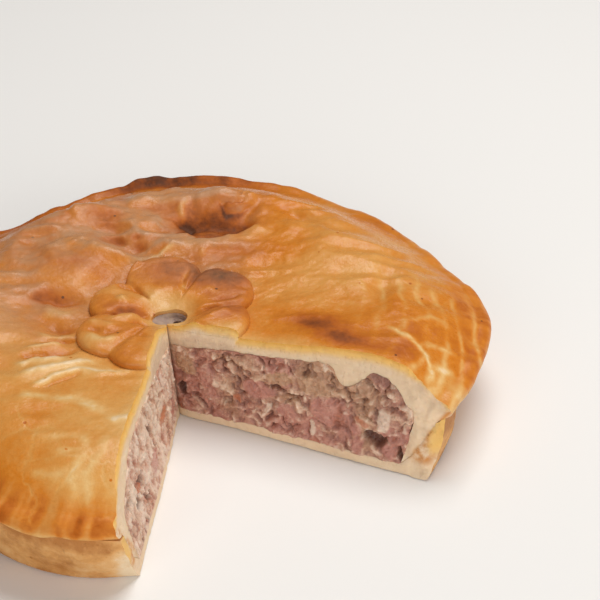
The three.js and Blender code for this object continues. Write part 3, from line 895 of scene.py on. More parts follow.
def triangles(piece):
    """Number of triangles that the faces of a piece make."""
    return sum(len(face.vertices) - 2 for face in piece.data.polygons)


print("helpers for finished meshes ready")

# %% [markdown]
# ## The knife
#
# The cut is made by a knife that is a solid wedge, which a Boolean takes from each piece. Its two faces lean
# back and are as rough as what they cut: dough tears in thin layers, the filling breaks into lumps. A plane
# could cut the meshes too, but a rough wedge gives the torn surface at once. Faces that the knife makes
# keep the second material of each piece, which is how a cut gets its own finish.

# %% The cut's two faces
CUT_TOP_HEIGHT = 48
TIP_FLOOR = np.array([-2.4, -12.7])
TIP_TOP = np.array([-6.5, -8.8])
# Directions in degrees of the right (1) and the left (-1) face, at the floor and at the top.
FACE_ANGLES = {1: (-22.6, -17.4), -1: (-95.5, -97.9)}
CUT_TIP_WIDTH = 1.2
TIP_FADE = 4


def face_frame(height, side):
    """Tip of the cut, direction along one face and direction into the pie, at a height."""
    share = (height / CUT_TOP_HEIGHT)[..., None]
    low, high = FACE_ANGLES[side]
    angle = np.radians(low + (high - low) * share)
    along = np.concatenate([np.cos(angle), np.sin(angle)], axis=-1)
    inward = side * np.concatenate([-np.sin(angle), np.cos(angle)], axis=-1)
    return TIP_FLOOR + (TIP_TOP - TIP_FLOOR) * share, along, inward


def face_place(points):
    """For points near the cut: their side, distance along the face, and depth behind it."""
    found = []
    for side in (1, -1):
        tip, along, inward = face_frame(points[:, 2], side)
        flat = points[:, :2] - tip
        found.append(((flat * along).sum(1), (flat * inward).sum(1) - CUT_TIP_WIDTH / 2))
    right = np.abs(found[0][1]) < np.abs(found[1][1])
    distance = np.where(right, found[0][0], found[1][0])
    depth = np.where(right, found[0][1], found[1][1])
    return np.where(right, 1, -1), distance, depth


def near_cut(points, reach):
    """1 at the faces of the cut, falling to 0 at points deeper in the pie than a reach."""
    _, distance, depth = face_place(points)
    return between(distance, -TIP_FADE, TIP_FADE) * bell(depth, reach)


print("the cut is open by", FACE_ANGLES[1][1] - FACE_ANGLES[-1][1], "degrees at the top")

# %% A solid knife
SLIT_DEPTH = 3.5
SLIT_DIRECTION = np.radians(121)
SLIT_END_WIDTH = 0.2
CUT_LENGTH = 190
CUT_LOW = -6
CUT_HIGH = 66


def knife(name, relief, spacing, reach, low, high):
    """Solid wedge whose faces are pushed into the pie by relief(distance, height, side).

    The knife went a little too far at the tip, so the first row of points ends in a thin slit.
    """
    distance = np.concatenate([[0], np.arange(0, reach, spacing), [CUT_LENGTH]])
    height = np.concatenate([[CUT_LOW], np.arange(low, high, spacing), [CUT_HIGH]])
    s, z = np.meshgrid(distance, height, indexing="ij")
    count = s.size
    points = []
    for side in (1, -1):
        tip, along, inward = face_frame(z, side)
        push = CUT_TIP_WIDTH / 2 + relief(s, z, side) * (s < CUT_LENGTH)
        push[0] = SLIT_END_WIDTH / 2
        flat = tip + along * s[..., None] + inward * push[..., None]
        flat[0] += SLIT_DEPTH * np.array([math.cos(SLIT_DIRECTION), math.sin(SLIT_DIRECTION)])
        points.append(np.concatenate([flat, z[..., None]], axis=-1).reshape(-1, 3))
    right = np.arange(count).reshape(s.shape)
    left = right + count

    def quads(a, b, c, d):
        """Faces whose four corners come from four grids of points."""
        return np.stack([a.ravel(), b.ravel(), c.ravel(), d.ravel()], axis=1).tolist()

    faces = quads(left[:-1, :-1], left[1:, :-1], left[1:, 1:], left[:-1, 1:])
    faces += quads(right[:-1, :-1], right[:-1, 1:], right[1:, 1:], right[1:, :-1])
    faces += quads(left[:-1, -1], left[1:, -1], right[1:, -1], right[:-1, -1])
    faces += quads(left[:-1, 0], right[:-1, 0], right[1:, 0], left[1:, 0])
    faces += quads(left[-1, :-1], right[-1, :-1], right[-1, 1:], left[-1, 1:])
    faces += quads(right[0, :-1], left[0, :-1], left[0, 1:], right[0, 1:])
    return mesh_piece(name, np.vstack(points), faces)


print("a knife is", CUT_HIGH - CUT_LOW, "mm high")

# %% How a tool is taken out of a piece
def take_away(piece, tool, materials):
    """Cuts a tool out of a piece; the piece wears the first material and its cut faces the second."""
    for data in (piece.data, tool.data):
        if not data.materials:
            for material in materials:
                data.materials.append(material)
    tool.data.polygons.foreach_set("material_index", np.ones(len(tool.data.polygons), np.int32))
    cut = piece.modifiers.new("cut", "BOOLEAN")
    cut.operation = "DIFFERENCE"
    cut.solver = "MANIFOLD"
    cut.object = tool
    bpy.context.view_layer.update()
    whole = piece.data
    done = piece.evaluated_get(bpy.context.evaluated_depsgraph_get())
    piece.data = bpy.data.meshes.new_from_object(done)
    piece.modifiers.clear()
    name = whole.name
    bpy.data.meshes.remove(whole)
    piece.data.name = name
    tool.data.materials.clear()


print("helper for cuts ready")

# %% Knife for the crusts
LUMP_SHIFT_PER_FACE = 40
DOUGH_LUMP = 26
DOUGH_LUMP_DEPTH = 0.5
LAYER_LENGTH = 9
LAYER_HEIGHT = 1.1
LAYER_DEPTH = 0.14
CRUMB_SIZE = 2.2
CRUMB_DEPTH = 0.16
CRUMB_SHIFT = 10
TEAR_START = (97, 106)
TEAR_SIZE = 5
TEAR_DEPTH = {1: 1.0, -1: 0.15}
LIP_TEAR = {1: 3.6, -1: 0.0}
LIP_TEAR_START = (110, 122)
LIP_TEAR_END_HEIGHT = (24, 33)
EDGE_ROUNDING = 1.1
EDGE_ROUNDING_HEIGHT = 1.3
EDGE_ROUNDING_START = 8
DOUGH_KNIFE_SPACING = 0.6
DOUGH_KNIFE_REACH = 142
DOUGH_KNIFE_HEIGHTS = (-2, 60)


def cut_top(s, side):
    """Height of the crust's upper face along one face of the cut."""
    tip, along, _ = face_frame(np.full(np.shape(s), float(CROWN_HEIGHT)), side)
    return surface_height(*np.moveaxis(tip + along * s[..., None], -1, 0))


def dough_lumps(s, z, side):
    """Broad waves of the cut, shared by the crusts and the filling."""
    shift = LUMP_SHIFT_PER_FACE * side
    return DOUGH_LUMP_DEPTH * smooth(s / TIP_FADE) * wave(s / DOUGH_LUMP + shift, z / DOUGH_LUMP)


def dough_relief(s, z, side):
    """How deep the knife bit into dough: waves, thin layers, crumbs, a soft top edge and a torn lip."""
    shift = LUMP_SHIFT_PER_FACE * side
    layers = LAYER_DEPTH * wave(s / LAYER_LENGTH - shift, z / LAYER_HEIGHT)
    crumbs = CRUMB_DEPTH * layered(s + CRUMB_SHIFT * shift, z, CRUMB_SIZE)
    tear = TEAR_DEPTH[side] * between(s, *TEAR_START) * layered(s, z + shift, TEAR_SIZE)
    lip = LIP_TEAR[side] * between(s, *LIP_TEAR_START) * (1 - between(z, *LIP_TEAR_END_HEIGHT))
    below = np.maximum(cut_top(s, side) - z, 0)
    edge = EDGE_ROUNDING * bell(below, EDGE_ROUNDING_HEIGHT)
    torn = (layers + crumbs + tear + lip) * smooth(s / TIP_FADE)
    return dough_lumps(s, z, side) + torn + edge * smooth(s / EDGE_ROUNDING_START)


dough_knife = knife(
    "dough_knife", dough_relief, DOUGH_KNIFE_SPACING, DOUGH_KNIFE_REACH, *DOUGH_KNIFE_HEIGHTS
)
print("dough knife:", len(dough_knife.data.polygons), "faces")

# %% [markdown]
# ## Effects that several finishes share
#
# Dough and meat are never one flat tone. Three node groups are built once and placed in each finish with
# its own values: slow blotches of tone, small dark specks, and the fine crumb of dough, flour and meat. The
# same nodes could be copied into every finish, but a group is changed in one place.

# %% Node groups
def new_group(name, inputs, outputs):
    """A shader node group with value inputs, and its tree, inputs and outputs."""
    group = bpy.data.node_groups.new(name, "ShaderNodeTree")
    group.interface.new_socket("Place", in_out="INPUT", socket_type="NodeSocketVector")
    for label, value in inputs.items():
        socket = group.interface.new_socket(label, in_out="INPUT", socket_type="NodeSocketFloat")
        socket.default_value = value
    for label in outputs:
        group.interface.new_socket(label, in_out="OUTPUT", socket_type="NodeSocketFloat")
    return group, group.nodes.new("NodeGroupInput").outputs, group.nodes.new("NodeGroupOutput").inputs


def use(tree, group, place, output, **values):
    """Places a shared effect in a finish and gives one of its outputs."""
    made = add(tree, "Group", node_tree=group)
    tree.links.new(place, made.inputs["Place"])
    for label, value in values.items():
        made.inputs[label].default_value = value
    return made.outputs[output]


def at_scale(given):
    """Where and how large a texture inside a group is."""
    return {"Vector": given["Place"], "Scale": given["Scale"]}


print("helpers for node groups ready")

# %% Blotches, specks and crumb
NOISE_MIDDLE = 0.5
BLOTCH_GRAIN = {"Detail": 4, "Roughness": 0.55}
CRUMB_GRAIN = {"Detail": 5, "Roughness": 0.65}
PORE_EDGE = (0.10, 0.34, 1.0, 0.0)
PORE_DEPTH = 0.5

blotches, given, out = new_group("Blotches", {"Scale": 60.0}, ["Tone"])
slow = add(blotches, "TexNoise", {**at_scale(given), **BLOTCH_GRAIN})
blotches.links.new(maths(blotches, "SUBTRACT", slow.outputs[0], NOISE_MIDDLE), out["Tone"])

specks, given, out = new_group("Specks", {"Scale": 300.0, "Size": 0.16, "Share": 0.12}, ["Mask"])
dots = add(specks, "TexVoronoi", at_scale(given))
chosen = add(specks, "SeparateColor", {0: dots.outputs["Color"]})
rare = maths(specks, "LESS_THAN", chosen.outputs[0], given["Share"])
small = maths(specks, "LESS_THAN", dots.outputs["Distance"], given["Size"])
specks.links.new(times(specks, rare, small), out["Mask"])

crumb, given, out = new_group("Crumb", {"Scale": 500.0}, ["Height", "Pores"])
grains = add(crumb, "TexNoise", {**at_scale(given), **CRUMB_GRAIN})
holes = add(crumb, "TexVoronoi", at_scale(given))
pores = span(crumb, holes.outputs["Distance"], *PORE_EDGE)
crumb.links.new(maths(crumb, "SUBTRACT", grains.outputs[0], times(crumb, pores, PORE_DEPTH)), out["Height"])
crumb.links.new(pores, out["Pores"])
print("shared effects:", [group.name for group in (blotches, specks, crumb)])

# %% Helpers that use the effects
def blotch(tree, place, scale):
    """Blotches of one size, from about -0.3 to 0.3."""
    return use(tree, blotches, place, "Tone", Scale=scale)


def mottled(tree, place, layers):
    """Sum of blotches; each layer is a scale and a strength."""
    return total(tree, *[times(tree, blotch(tree, place, scale), strength) for scale, strength in layers])


def bumped(tree, shader, height, strength, distance):
    """Lets a fine relief bend the light on a finish."""
    bump = add(tree, "Bump", {"Strength": strength, "Distance": distance, "Height": height})
    tree.links.new(bump.outputs[0], shader.inputs["Normal"])


def let_light_in(shader, weight, radius, scale):
    """Lets light sink in under the surface; radius is for red, green and blue."""
    shader.inputs["Subsurface Weight"].default_value = weight
    shader.inputs["Subsurface Radius"].default_value = radius
    shader.inputs["Subsurface Scale"].default_value = scale


print("helpers for finishes ready")

# %% [markdown]
# ## Egg-washed crust
#
# Where the egg wash lay thick the lid is gold to orange, and brown where it pooled or caught the heat; on
# stretch marks and crack lines the pale dough shows through. Near the rim the wash ran down in streaks.
# A painted picture could hold all that, but it would blur close by. Here one tone, from pale to burnt, runs
# through a colour ramp, and the mesh says where each effect is.

# %% Streaks and cracks in the glaze
# Lengths in node trees are in metres, and a scale says how many features of a texture fit in one. A span
# is the low and the high end of a value, and what those two ends become: 0 and 1 if it isn't said.
STREAK_RADIUS = 0.12
STREAK_RUN = (0.05, 0.05, 0.30)
STREAK_NOISE = {"Scale": 190, "Detail": 1.2, "Roughness": 0.5}
STREAK_SPAN = (0.34, 0.64, -0.14, 0.15)
CRACK_WANDER = {"Scale": 90, "Detail": 4}
CRACK_WANDER_REACH = 0.014
CRACK_SCALE = 66
CRACK_SPAN = (0.0, 0.09, 1.0, 0.0)
CRACKED_SCALE = 45.0
CRACKED_SPAN = (-0.06, 0.12)

glaze, tree, shader, place = new_material("egg-washed crust")
direction = vector(tree, "NORMALIZE", vector(tree, "MULTIPLY", place, (1, 1, 0)))
rim = vector(tree, "MULTIPLY", direction, (STREAK_RADIUS,) * 3)
rim = vector(tree, "ADD", rim, vector(tree, "MULTIPLY", place, STREAK_RUN))
bars = add(tree, "TexNoise", {"Vector": rim, **STREAK_NOISE}).outputs[0]
streaks = times(tree, painted(tree, "streak"), span(tree, bars, *STREAK_SPAN))

wander = add(tree, "TexNoise", {"Vector": place, **CRACK_WANDER}).outputs["Color"]
shifted = vector(tree, "ADD", vector(tree, "MULTIPLY", wander, (CRACK_WANDER_REACH,) * 3), place)
cells = add(tree, "TexVoronoi", {"Vector": shifted, "Scale": CRACK_SCALE}, feature="DISTANCE_TO_EDGE")
lines = span(tree, cells.outputs["Distance"], *CRACK_SPAN)
some = span(tree, blotch(tree, place, CRACKED_SCALE), *CRACKED_SPAN)
cracks = times(tree, times(tree, lines, painted(tree, "crackle")), some)
print("streaks and cracks:", len(tree.nodes), "nodes")

# %% Colour of the glaze
GLAZE_TONES = [
    (0.00, (0.79, 0.57, 0.33)),
    (0.20, (0.74, 0.45, 0.17)),
    (0.42, (0.67, 0.315, 0.078)),
    (0.62, (0.61, 0.195, 0.018)),
    (0.80, (0.45, 0.108, 0.005)),
    (0.91, (0.26, 0.060, 0.006)),
    (1.00, (0.11, 0.030, 0.007)),
]
GLAZE_BLOTCHES = [(55.0, 0.20), (150.0, 0.20), (480.0, 0.16)]
GLAZE_SPECKS = {"Scale": 230.0, "Size": 0.15, "Share": 0.07}
SPECK_BROWNING = 0.32
CRACK_BROWNING = -0.10
PALE_BROWNING = -0.36
PALE_SCALE = 220.0
PALE_SPAN = (-0.22, 0.12, 0.35, 1.0)
# A painted sheen: a paler, greyer crust colour stands in for the glaze mirroring a bright sky.
PAINTED_SHEEN_COLOUR = (0.49, 0.264, 0.138)
SHEEN_PATCH_SCALE = 130.0
SHEEN_PATCH_SPAN = (-0.3, 0.2, 0.4, 1.0)

broken = span(tree, blotch(tree, place, PALE_SCALE), *PALE_SPAN)
tone = total(
    tree,
    painted(tree, "brown"),
    mottled(tree, place, GLAZE_BLOTCHES),
    streaks,
    times(tree, cracks, CRACK_BROWNING),
    times(tree, times(tree, painted(tree, "pale"), broken), PALE_BROWNING),
    times(tree, use(tree, specks, place, "Mask", **GLAZE_SPECKS), SPECK_BROWNING),
)
# The painted sheen is mixed in by the share that the mesh carries, broken into patches.
patchy = span(tree, blotch(tree, place, SHEEN_PATCH_SCALE), *SHEEN_PATCH_SPAN)
dull_share = times(tree, painted(tree, "dull"), patchy)
colour = mixed(tree, dull_share, ramp(tree, tone, GLAZE_TONES), PAINTED_SHEEN_COLOUR)
tree.links.new(colour, shader.inputs["Base Color"])
print("tones of the glaze:", len(GLAZE_TONES))

# %% Shine and skin of the glaze
GLAZE_ROUGHNESS = 0.27
GLAZE_SPECULAR = 0.24
SHINE_BLOTCHES = [(420.0, 0.16)]
PALE_DULLNESS = 0.1
STREAK_DULLNESS = 0.35
BURNT_SPAN = (0.66, 0.9, 0.0, 0.35)
GLAZE_SKIN = [(500.0, 1.0), (1500.0, 0.35)]
CRACK_SINK = -0.3
# Strength and depth of the fine relief.
GLAZE_BUMP = (0.4, 0.0007)

roughness = total(
    tree,
    GLAZE_ROUGHNESS,
    mottled(tree, place, SHINE_BLOTCHES),
    times(tree, painted(tree, "pale"), PALE_DULLNESS),
    times(tree, painted(tree, "streak"), STREAK_DULLNESS),
    span(tree, tone, *BURNT_SPAN),
)
tree.links.new(roughness, shader.inputs["Roughness"])
shader.inputs["Specular IOR Level"].default_value = GLAZE_SPECULAR
glaze_skin = total(tree, mottled(tree, place, GLAZE_SKIN), times(tree, cracks, CRACK_SINK))
bumped(tree, shader, glaze_skin, *GLAZE_BUMP)
print("egg-washed crust:", len(tree.nodes), "nodes")

# %% [markdown]
# ## Cut dough
#
# Inside, the baked dough is cream, dense and a little flaky, with small pores. It is yellow just under the
# glaze and greyer where the filling or the steam wetted it. One flat cream would look like clay, so noise
# makes the crumb, and the mesh says how deep under the glaze each point lies.

# %% Cut dough
DOUGH_TONES = [
    (0.0, (0.58, 0.40, 0.25)),
    (0.5, (0.76, 0.555, 0.36)),
    (1.0, (0.86, 0.69, 0.48)),
]
DOUGH_TONE = 0.55
DOUGH_BLOTCHES = [(70.0, 0.7), (500.0, 0.25)]
PORE_SCALE = 300.0
PORE_TONE = -0.08
SEAM = (0.58, 0.24, 0.06)
SEAM_SCALE = 260.0
SEAM_SPAN = (-0.18, 0.10)
WET_DOUGH = (0.37, 0.25, 0.195)
DAMP_SCALE = 320.0
DAMP_SPAN = (-0.2, 0.2, 0.6, 0.95)
YELLOW_DOUGH = (0.78, 0.47, 0.15)
YELLOW_SPAN = (0.15, 0.6)
UNDER_GLAZE = (0.72, 0.37, 0.07)
UNDER_GLAZE_SPAN = (0.5, 0.95)

dough, tree, shader, place = new_material("cut dough")
pores = times(tree, use(tree, crumb, place, "Pores", Scale=PORE_SCALE), PORE_TONE)
tone = total(tree, DOUGH_TONE, mottled(tree, place, DOUGH_BLOTCHES), pores)
patchy = span(tree, blotch(tree, place, SEAM_SCALE), *SEAM_SPAN)
colour = mixed(tree, times(tree, painted(tree, "seam"), patchy), ramp(tree, tone, DOUGH_TONES), SEAM)
damp = span(tree, blotch(tree, place, DAMP_SCALE), *DAMP_SPAN)
colour = mixed(tree, times(tree, painted(tree, "wet"), damp), colour, WET_DOUGH)
near_glaze = painted(tree, "under_glaze")
colour = mixed(tree, span(tree, near_glaze, *YELLOW_SPAN), colour, YELLOW_DOUGH)
colour = mixed(tree, span(tree, near_glaze, *UNDER_GLAZE_SPAN), colour, UNDER_GLAZE)
tree.links.new(colour, shader.inputs["Base Color"])
print("tones of the dough:", len(DOUGH_TONES))

# %% Crumb and sheen of the cut dough
DOUGH_ROUGHNESS = 0.62
WET_ROUGHNESS = -0.1
DOUGH_SPECULAR = 0.25
# Share of the light that sinks in, how far red, green and blue go, and the scale of that.
DOUGH_DEPTH = (0.15, (1.0, 0.6, 0.3), 0.003)
DOUGH_CRUMB_SCALE = 500.0
DOUGH_BUMP = (0.45, 0.0008)

roughness = total(tree, DOUGH_ROUGHNESS, times(tree, painted(tree, "wet"), WET_ROUGHNESS))
tree.links.new(roughness, shader.inputs["Roughness"])
shader.inputs["Specular IOR Level"].default_value = DOUGH_SPECULAR
let_light_in(shader, *DOUGH_DEPTH)
bumped(tree, shader, use(tree, crumb, place, "Height", Scale=DOUGH_CRUMB_SCALE), *DOUGH_BUMP)
print("cut dough:", len(tree.nodes), "nodes")

# %% [markdown]
# ## The lid
#
# The lid is the piece that the eye meets first. Its profile runs out along the underside, down the wall
# inside the hem, round the lip and back over the top. The rows of points are close together from the
# flower's edge outwards, where everything shows, and wider under the flower. A flat sheet bent over the
# filling would be closer to the cook's way, but a turned profile keeps the sizes of the solid.

# %% Profile of the lid
INNER_ROWS = 16
ROLL_ROWS = 26
UNDERSIDE_ROWS = INNER_ROWS + ROLL_ROWS
ROLL_START_RADIUS = 62
WALL_ROWS = 6
LIP_ROWS = 14
TOP_ROWS = 90
HIDDEN_RADIUS = 34
HIDDEN_ROWS = 12

hem_inner = HEM_TOP_RADIUS - HEM_TOP_WIDTH - GAP
inner_radii = np.linspace(0, ROLL_START_RADIUS, INNER_ROWS, endpoint=False)
roll_radii = np.linspace(ROLL_START_RADIUS, UNDERSIDE_RADIUS, ROLL_ROWS)
underside = [(r, lid_under(r)) for r in (*inner_radii, *roll_radii)]
wall = rounded([underside[-1], WALL_BEND, WALL_BULGE, WALL_WAIST, WALL_FOOT], WALL_ROWS)[1:]
inside = [*underside, *wall, (HEM_ROOT[0] - 2 * GAP, HEM_ROOT[1]), (hem_inner, HEM_HEIGHT), GROOVE]
lip_angles = np.radians(np.linspace(LIP_END_ANGLE, 90, LIP_ROWS))
lip = [
    (LIP_TOP_RADIUS + LIP_WIDTH * math.cos(a), LIP_HEIGHT + LIP_HALF_HEIGHT * math.sin(a))
    for a in lip_angles
]
radii = [
    *np.linspace(LIP_TOP_RADIUS, HIDDEN_RADIUS, TOP_ROWS)[1:],
    *np.linspace(HIDDEN_RADIUS, 0, HIDDEN_ROWS)[1:],
]
top = [(r, lid_top(r)) for r in radii]
print("rows of the lid:", len(inside) + len(lip) + len(top))

# %% Lid mesh
LID_STEPS = 600
LIP_FORMS_START_RADIUS = 92


def shape_lid(points, rows):
    """Gives the outside of the lid its lip, puffs, folds and skin, and its underside the roll."""
    x, y, _ = points.T
    outside = rows >= len(inside)
    outer = between(np.hypot(x, y), LIP_FORMS_START_RADIUS, LIP_TOP_RADIUS)
    moved = pushed(points, np.where(outside, outer * side_reach(LIP_FORMS, x, y), 0))
    relief = lid_relief(x, y) + shoulder_relief(x, y) + rim_relief(x, y) + lid_skin(x, y)
    moved[:, 2] += np.where(outside, relief, 0) - np.where(rows < UNDERSIDE_ROWS, roll_drop(x, y), 0)
    moved[:, 2] = np.where(rows < UNDERSIDE_ROWS, under_dents(x, y, moved[:, 2]), moved[:, 2])
    on_hem = (rows >= len(inside) - 2) & ~outside
    on_wall = (rows >= UNDERSIDE_ROWS) & ~on_hem & ~outside
    moved[on_hem] = hem_moved(moved[on_hem])
    moved[on_wall] = wall_moved(moved[on_wall])
    return uneven(moved)


lid = turned("lid", [*inside, *lip, *top], LID_STEPS, shape_lid)
print("lid before the cut:", len(lid.data.polygons), "faces")

# %% [markdown]
# ## Steam hole
#
# Steam leaves through a hole in the middle of the flower: a shallow, crooked bowl of moist grey dough, with
# a narrow vent that leads down to the filling. It could be modelled into the lid's rows, but a solid of its
# form can be taken out of the finished lid, just as the knife is.

# %% Steam hole and cut of the lid
WELL_TOP_RADIUS = 6.4
WELL_BOTTOM_RADIUS = 1.6
WELL_HEIGHT = 40.4
WELL_SHELF_WIDTH = 2.2
WELL_SHELF_RISE = 0.8
WELL_ROWS = 4
VENT_LOW = 26
VENT_HIGH = 60
VENT_STEPS = 48
VENT_FOOT_SHIFT = np.array([3.0, 2.3])

well = [
    (WELL_BOTTOM_RADIUS, WELL_HEIGHT),
    (WELL_BOTTOM_RADIUS + WELL_SHELF_WIDTH, WELL_HEIGHT + WELL_SHELF_RISE),
    (WELL_TOP_RADIUS, CENTRE_HEIGHT),
]
vent_profile = [
    (0, VENT_LOW),
    (WELL_BOTTOM_RADIUS, VENT_LOW),
    *rounded(well, WELL_ROWS),
    (WELL_TOP_RADIUS, VENT_HIGH),
    (0, VENT_HIGH),
]


def shape_vent(points, rows):
    """Moves the vent to the flower's middle, makes its round uneven and leads its foot aside."""
    stretch = hole_form(np.arctan2(points[:, 1], points[:, 0]))
    aside = (1 - between(points[:, 2], WELL_HEIGHT, CENTRE_HEIGHT))[:, None] * VENT_FOOT_SHIFT
    round_hole = points * np.stack([stretch, stretch, np.ones_like(stretch)], axis=1)
    return round_hole + [*FLOWER, 0] + np.hstack([aside, np.zeros((len(points), 1))])


vent = turned("vent", vent_profile, VENT_STEPS, shape_vent)
for tool in (vent, dough_knife):
    take_away(lid, tool, [glaze, dough])
bpy.data.objects.remove(vent)
print("lid:", len(lid.data.polygons), "faces, materials", [m.name for m in lid.data.materials])

# %% [markdown]
# ## Browning of the lid
#
# The oven was hotter at the right and at the rim. Each browned or pale place is an oval patch; valleys of
# folds are browner, partly from browning and partly as painted shade, and ridges are paler. At the right
# the brush left rings in the wash, and at the far left a painted sheen makes the level places of the glaze
# paler and greyer. A picture could be painted over the lid instead, but values that are stored on the
# points of the mesh need no flat map, and they stay on the dough from every side.

# %% Browned and pale places of the lid
# Middle, half length, half width, turn of the long axis in degrees, and browning of each oval.
LID_PATCHES = [
    (56, -9, 13, 7, -25, 0.32),
    (66, -23, 12, 6, -25, 0.31),
    # The next two ovals darken the dent, partly browning and partly painted shade.
    (9, 74, 22, 9, 0, 0.14),
    (6, 65, 14, 5, 8, 0.16),
    (-38, 67, 12, 6, 0, 0.12),
    (-60, 10, 14, 8, 0, 0.14),
    (-44, 62, 26, 24, 0, 0.07),
    (-44, 18, 16, 7, 5, -0.08),
    (-47, 30, 24, 10, -22, 0.16),
    (-48, -42, 18, 8, 25, -0.20),
    (-26, -42, 14, 4, 0, -0.10),
    (-52, -12, 15, 12, 0, 0.12),
    (-38, -104, 14, 8, 0, -0.12),
    (-52, -74, 14, 18, 0, 0.09),
    (88, -30, 26, 16, 60, 0.16),
    (50, -16, 40, 14, -20, 0.04),
    (14, 44, 16, 7, 0, 0.08),
    (-34, -74, 30, 22, 0, -0.12),
    (-50, -113, 40, 5, -8, 0.06),
    (-10, 78, 70, 16, 0, 0.06),
    (111, -38, 7, 13, 30, -0.26),
]

print("browned and pale places:", len(LID_PATCHES))

# %% Browning of the lid
LID_BROWNING = 0.52
BACK_BROWNING = 0.16
BROWN_BACK = (-30, 50)
BROWN_LEFT_OF = (10, 60)
VALLEY_BROWNING_AND_SHADE = 0.11
VALLEY_LIMITS = (-0.7, 1.4)
UNEVEN_BROWNING = 0.05
UNEVEN_BROWNING_SIZE = 30
RIM_BROWNING = 0.10
RIM_BROWNING_START = (110, 119)
# Direction and width in degrees, and browning of the fold at the far rim.
FOLD_BROWNING = [(98, 16, 0.20)]
FOLD_BROWNING_START = (110, 116)
RAW_DEPTHS = (4.8, 6.2)
RAW_RADIUS = HEM_ROOT[0] + 4
LIP_FOOT_PALENESS = 0.24
LIP_FOOT_HEIGHTS = (-1.5, 2.0)


def lid_browning(points, depth, rise):
    """Tone of the lid by its patches, the valleys of its folds and its rim; the inside stays pale."""
    x, y, z = points.T
    radius = np.hypot(x, y)
    back = between(y, *BROWN_BACK) * (1 - between(x, *BROWN_LEFT_OF))
    brown = LID_BROWNING + BACK_BROWNING * back + sum(hill(x, y, patch) for patch in LID_PATCHES)
    # Valleys of folds get darker, partly browning and partly painted shade; ridges get paler.
    brown += VALLEY_BROWNING_AND_SHADE * np.clip(-rise, *VALLEY_LIMITS)
    brown += UNEVEN_BROWNING * layered(x, y, UNEVEN_BROWNING_SIZE)
    brown += RIM_BROWNING * between(radius, *RIM_BROWNING_START)
    brown += between(radius, *FOLD_BROWNING_START) * side_reach(FOLD_BROWNING, x, y)
    brown -= between(depth, *RAW_DEPTHS) * (radius < RAW_RADIUS)
    above_lip = z - LIP_HEIGHT - side_reach(LIP_DIPS, x, y)
    brown -= LIP_FOOT_PALENESS * (1 - between(above_lip, *LIP_FOOT_HEIGHTS)) * (radius > LIP_TOP_RADIUS)
    return brown


print("plain browning:", LID_BROWNING, "and", LID_BROWNING + BACK_BROWNING, "at the far left")

# %% Rings in the wash
RING_SPACING = 8.4
RING_WIDTH = 1.2
RING_WANDER = 4.5
RING_WANDER_SIZE = 24
RINGS_RIGHT_OF = (66, 92)
RINGS_IN_FRONT_OF = (0, 40)
RING_GAP_SIZE = 11
RING_GAPS = (0.35, 0.7)


def right_side(x, y):
    """Share by which a place belongs to the near right of the lid."""
    return between(x, *RINGS_RIGHT_OF) * (1 - between(y, *RINGS_IN_FRONT_OF))


def wash_rings(x, y):
    """1 on the rings that the brush left in the wash, 0 between them."""
    across = (np.hypot(x, y) + RING_WANDER * layered(x, y, RING_WANDER_SIZE)) / RING_SPACING
    return bell((across - np.round(across)) * RING_SPACING, RING_WIDTH)


def ring_gaps(x, y):
    """Breaks the rings up: 0 in their gaps."""
    return between(noise(x / RING_GAP_SIZE, y / RING_GAP_SIZE), *RING_GAPS)


print("rings are", RING_SPACING, "mm apart")

# %% Painted sheen of the lid
SLOPE_STEP = 3.0
LEVEL_SLOPE = -0.08
LEVEL_SPREAD = 0.28
SHEEN_EVERYWHERE = 0.34
SHEEN_WHERE_LEVEL = 0.64
SHEEN_SLANT = 0.4
SHEEN_BACK = (-30, 55)
SHEEN_LEFT_OF = (5, 40)
SHEEN_WHERE_SMOOTH = 0.5
SHEEN_INSIDE_OF = (84, 114)
TOO_BROWN = (0.7, 0.9)


def dull_places(x, y, brown):
    """Share of painted sheen: most where the far left of the lid is level, none where it is burnt."""
    behind = np.array([x, y + SLOPE_STEP])
    rise_behind = lid_height(*behind) + lid_skin(*behind) - lid_height(x, y) - lid_skin(x, y)
    # Level places and places that fall away behind get the most painted sheen; slopes facing the front get
    # less.
    slope = np.maximum(rise_behind / SLOPE_STEP - LEVEL_SLOPE, 0)
    dull = SHEEN_EVERYWHERE + SHEEN_WHERE_LEVEL * bell(slope, LEVEL_SPREAD)
    far_left = between(y - SHEEN_SLANT * x, *SHEEN_BACK) * (1 - between(x, *SHEEN_LEFT_OF))
    wrinkled = SHEEN_WHERE_SMOOTH + (1 - SHEEN_WHERE_SMOOTH) * wrinkle_share(x, y)
    unburnt = (1 - between(np.hypot(x, y), *SHEEN_INSIDE_OF)) * (1 - between(brown, *TOO_BROWN))
    return dull * far_left * wrinkled * unburnt


print("slopes are measured over", SLOPE_STEP, "mm")

# %% Tones of the cut
UNDER_GLAZE_REACH = 2.9
VENT_EDGE = 0.3
VENT_WETNESS = 1.1
LID_WETNESS = 0.35
LID_WET_DEPTHS = (0.8 * LID_THICKNESS, 1.2 * LID_THICKNESS)
LID_WET_RADIUS = 66
SEAM_WIDTH = 2.5
LID_SEAM_START = (104, 108)


def under_glaze(depth):
    """Share of yellow dough at a depth under the glaze."""
    return np.exp(-np.clip(depth, 0, None) / UNDER_GLAZE_REACH)


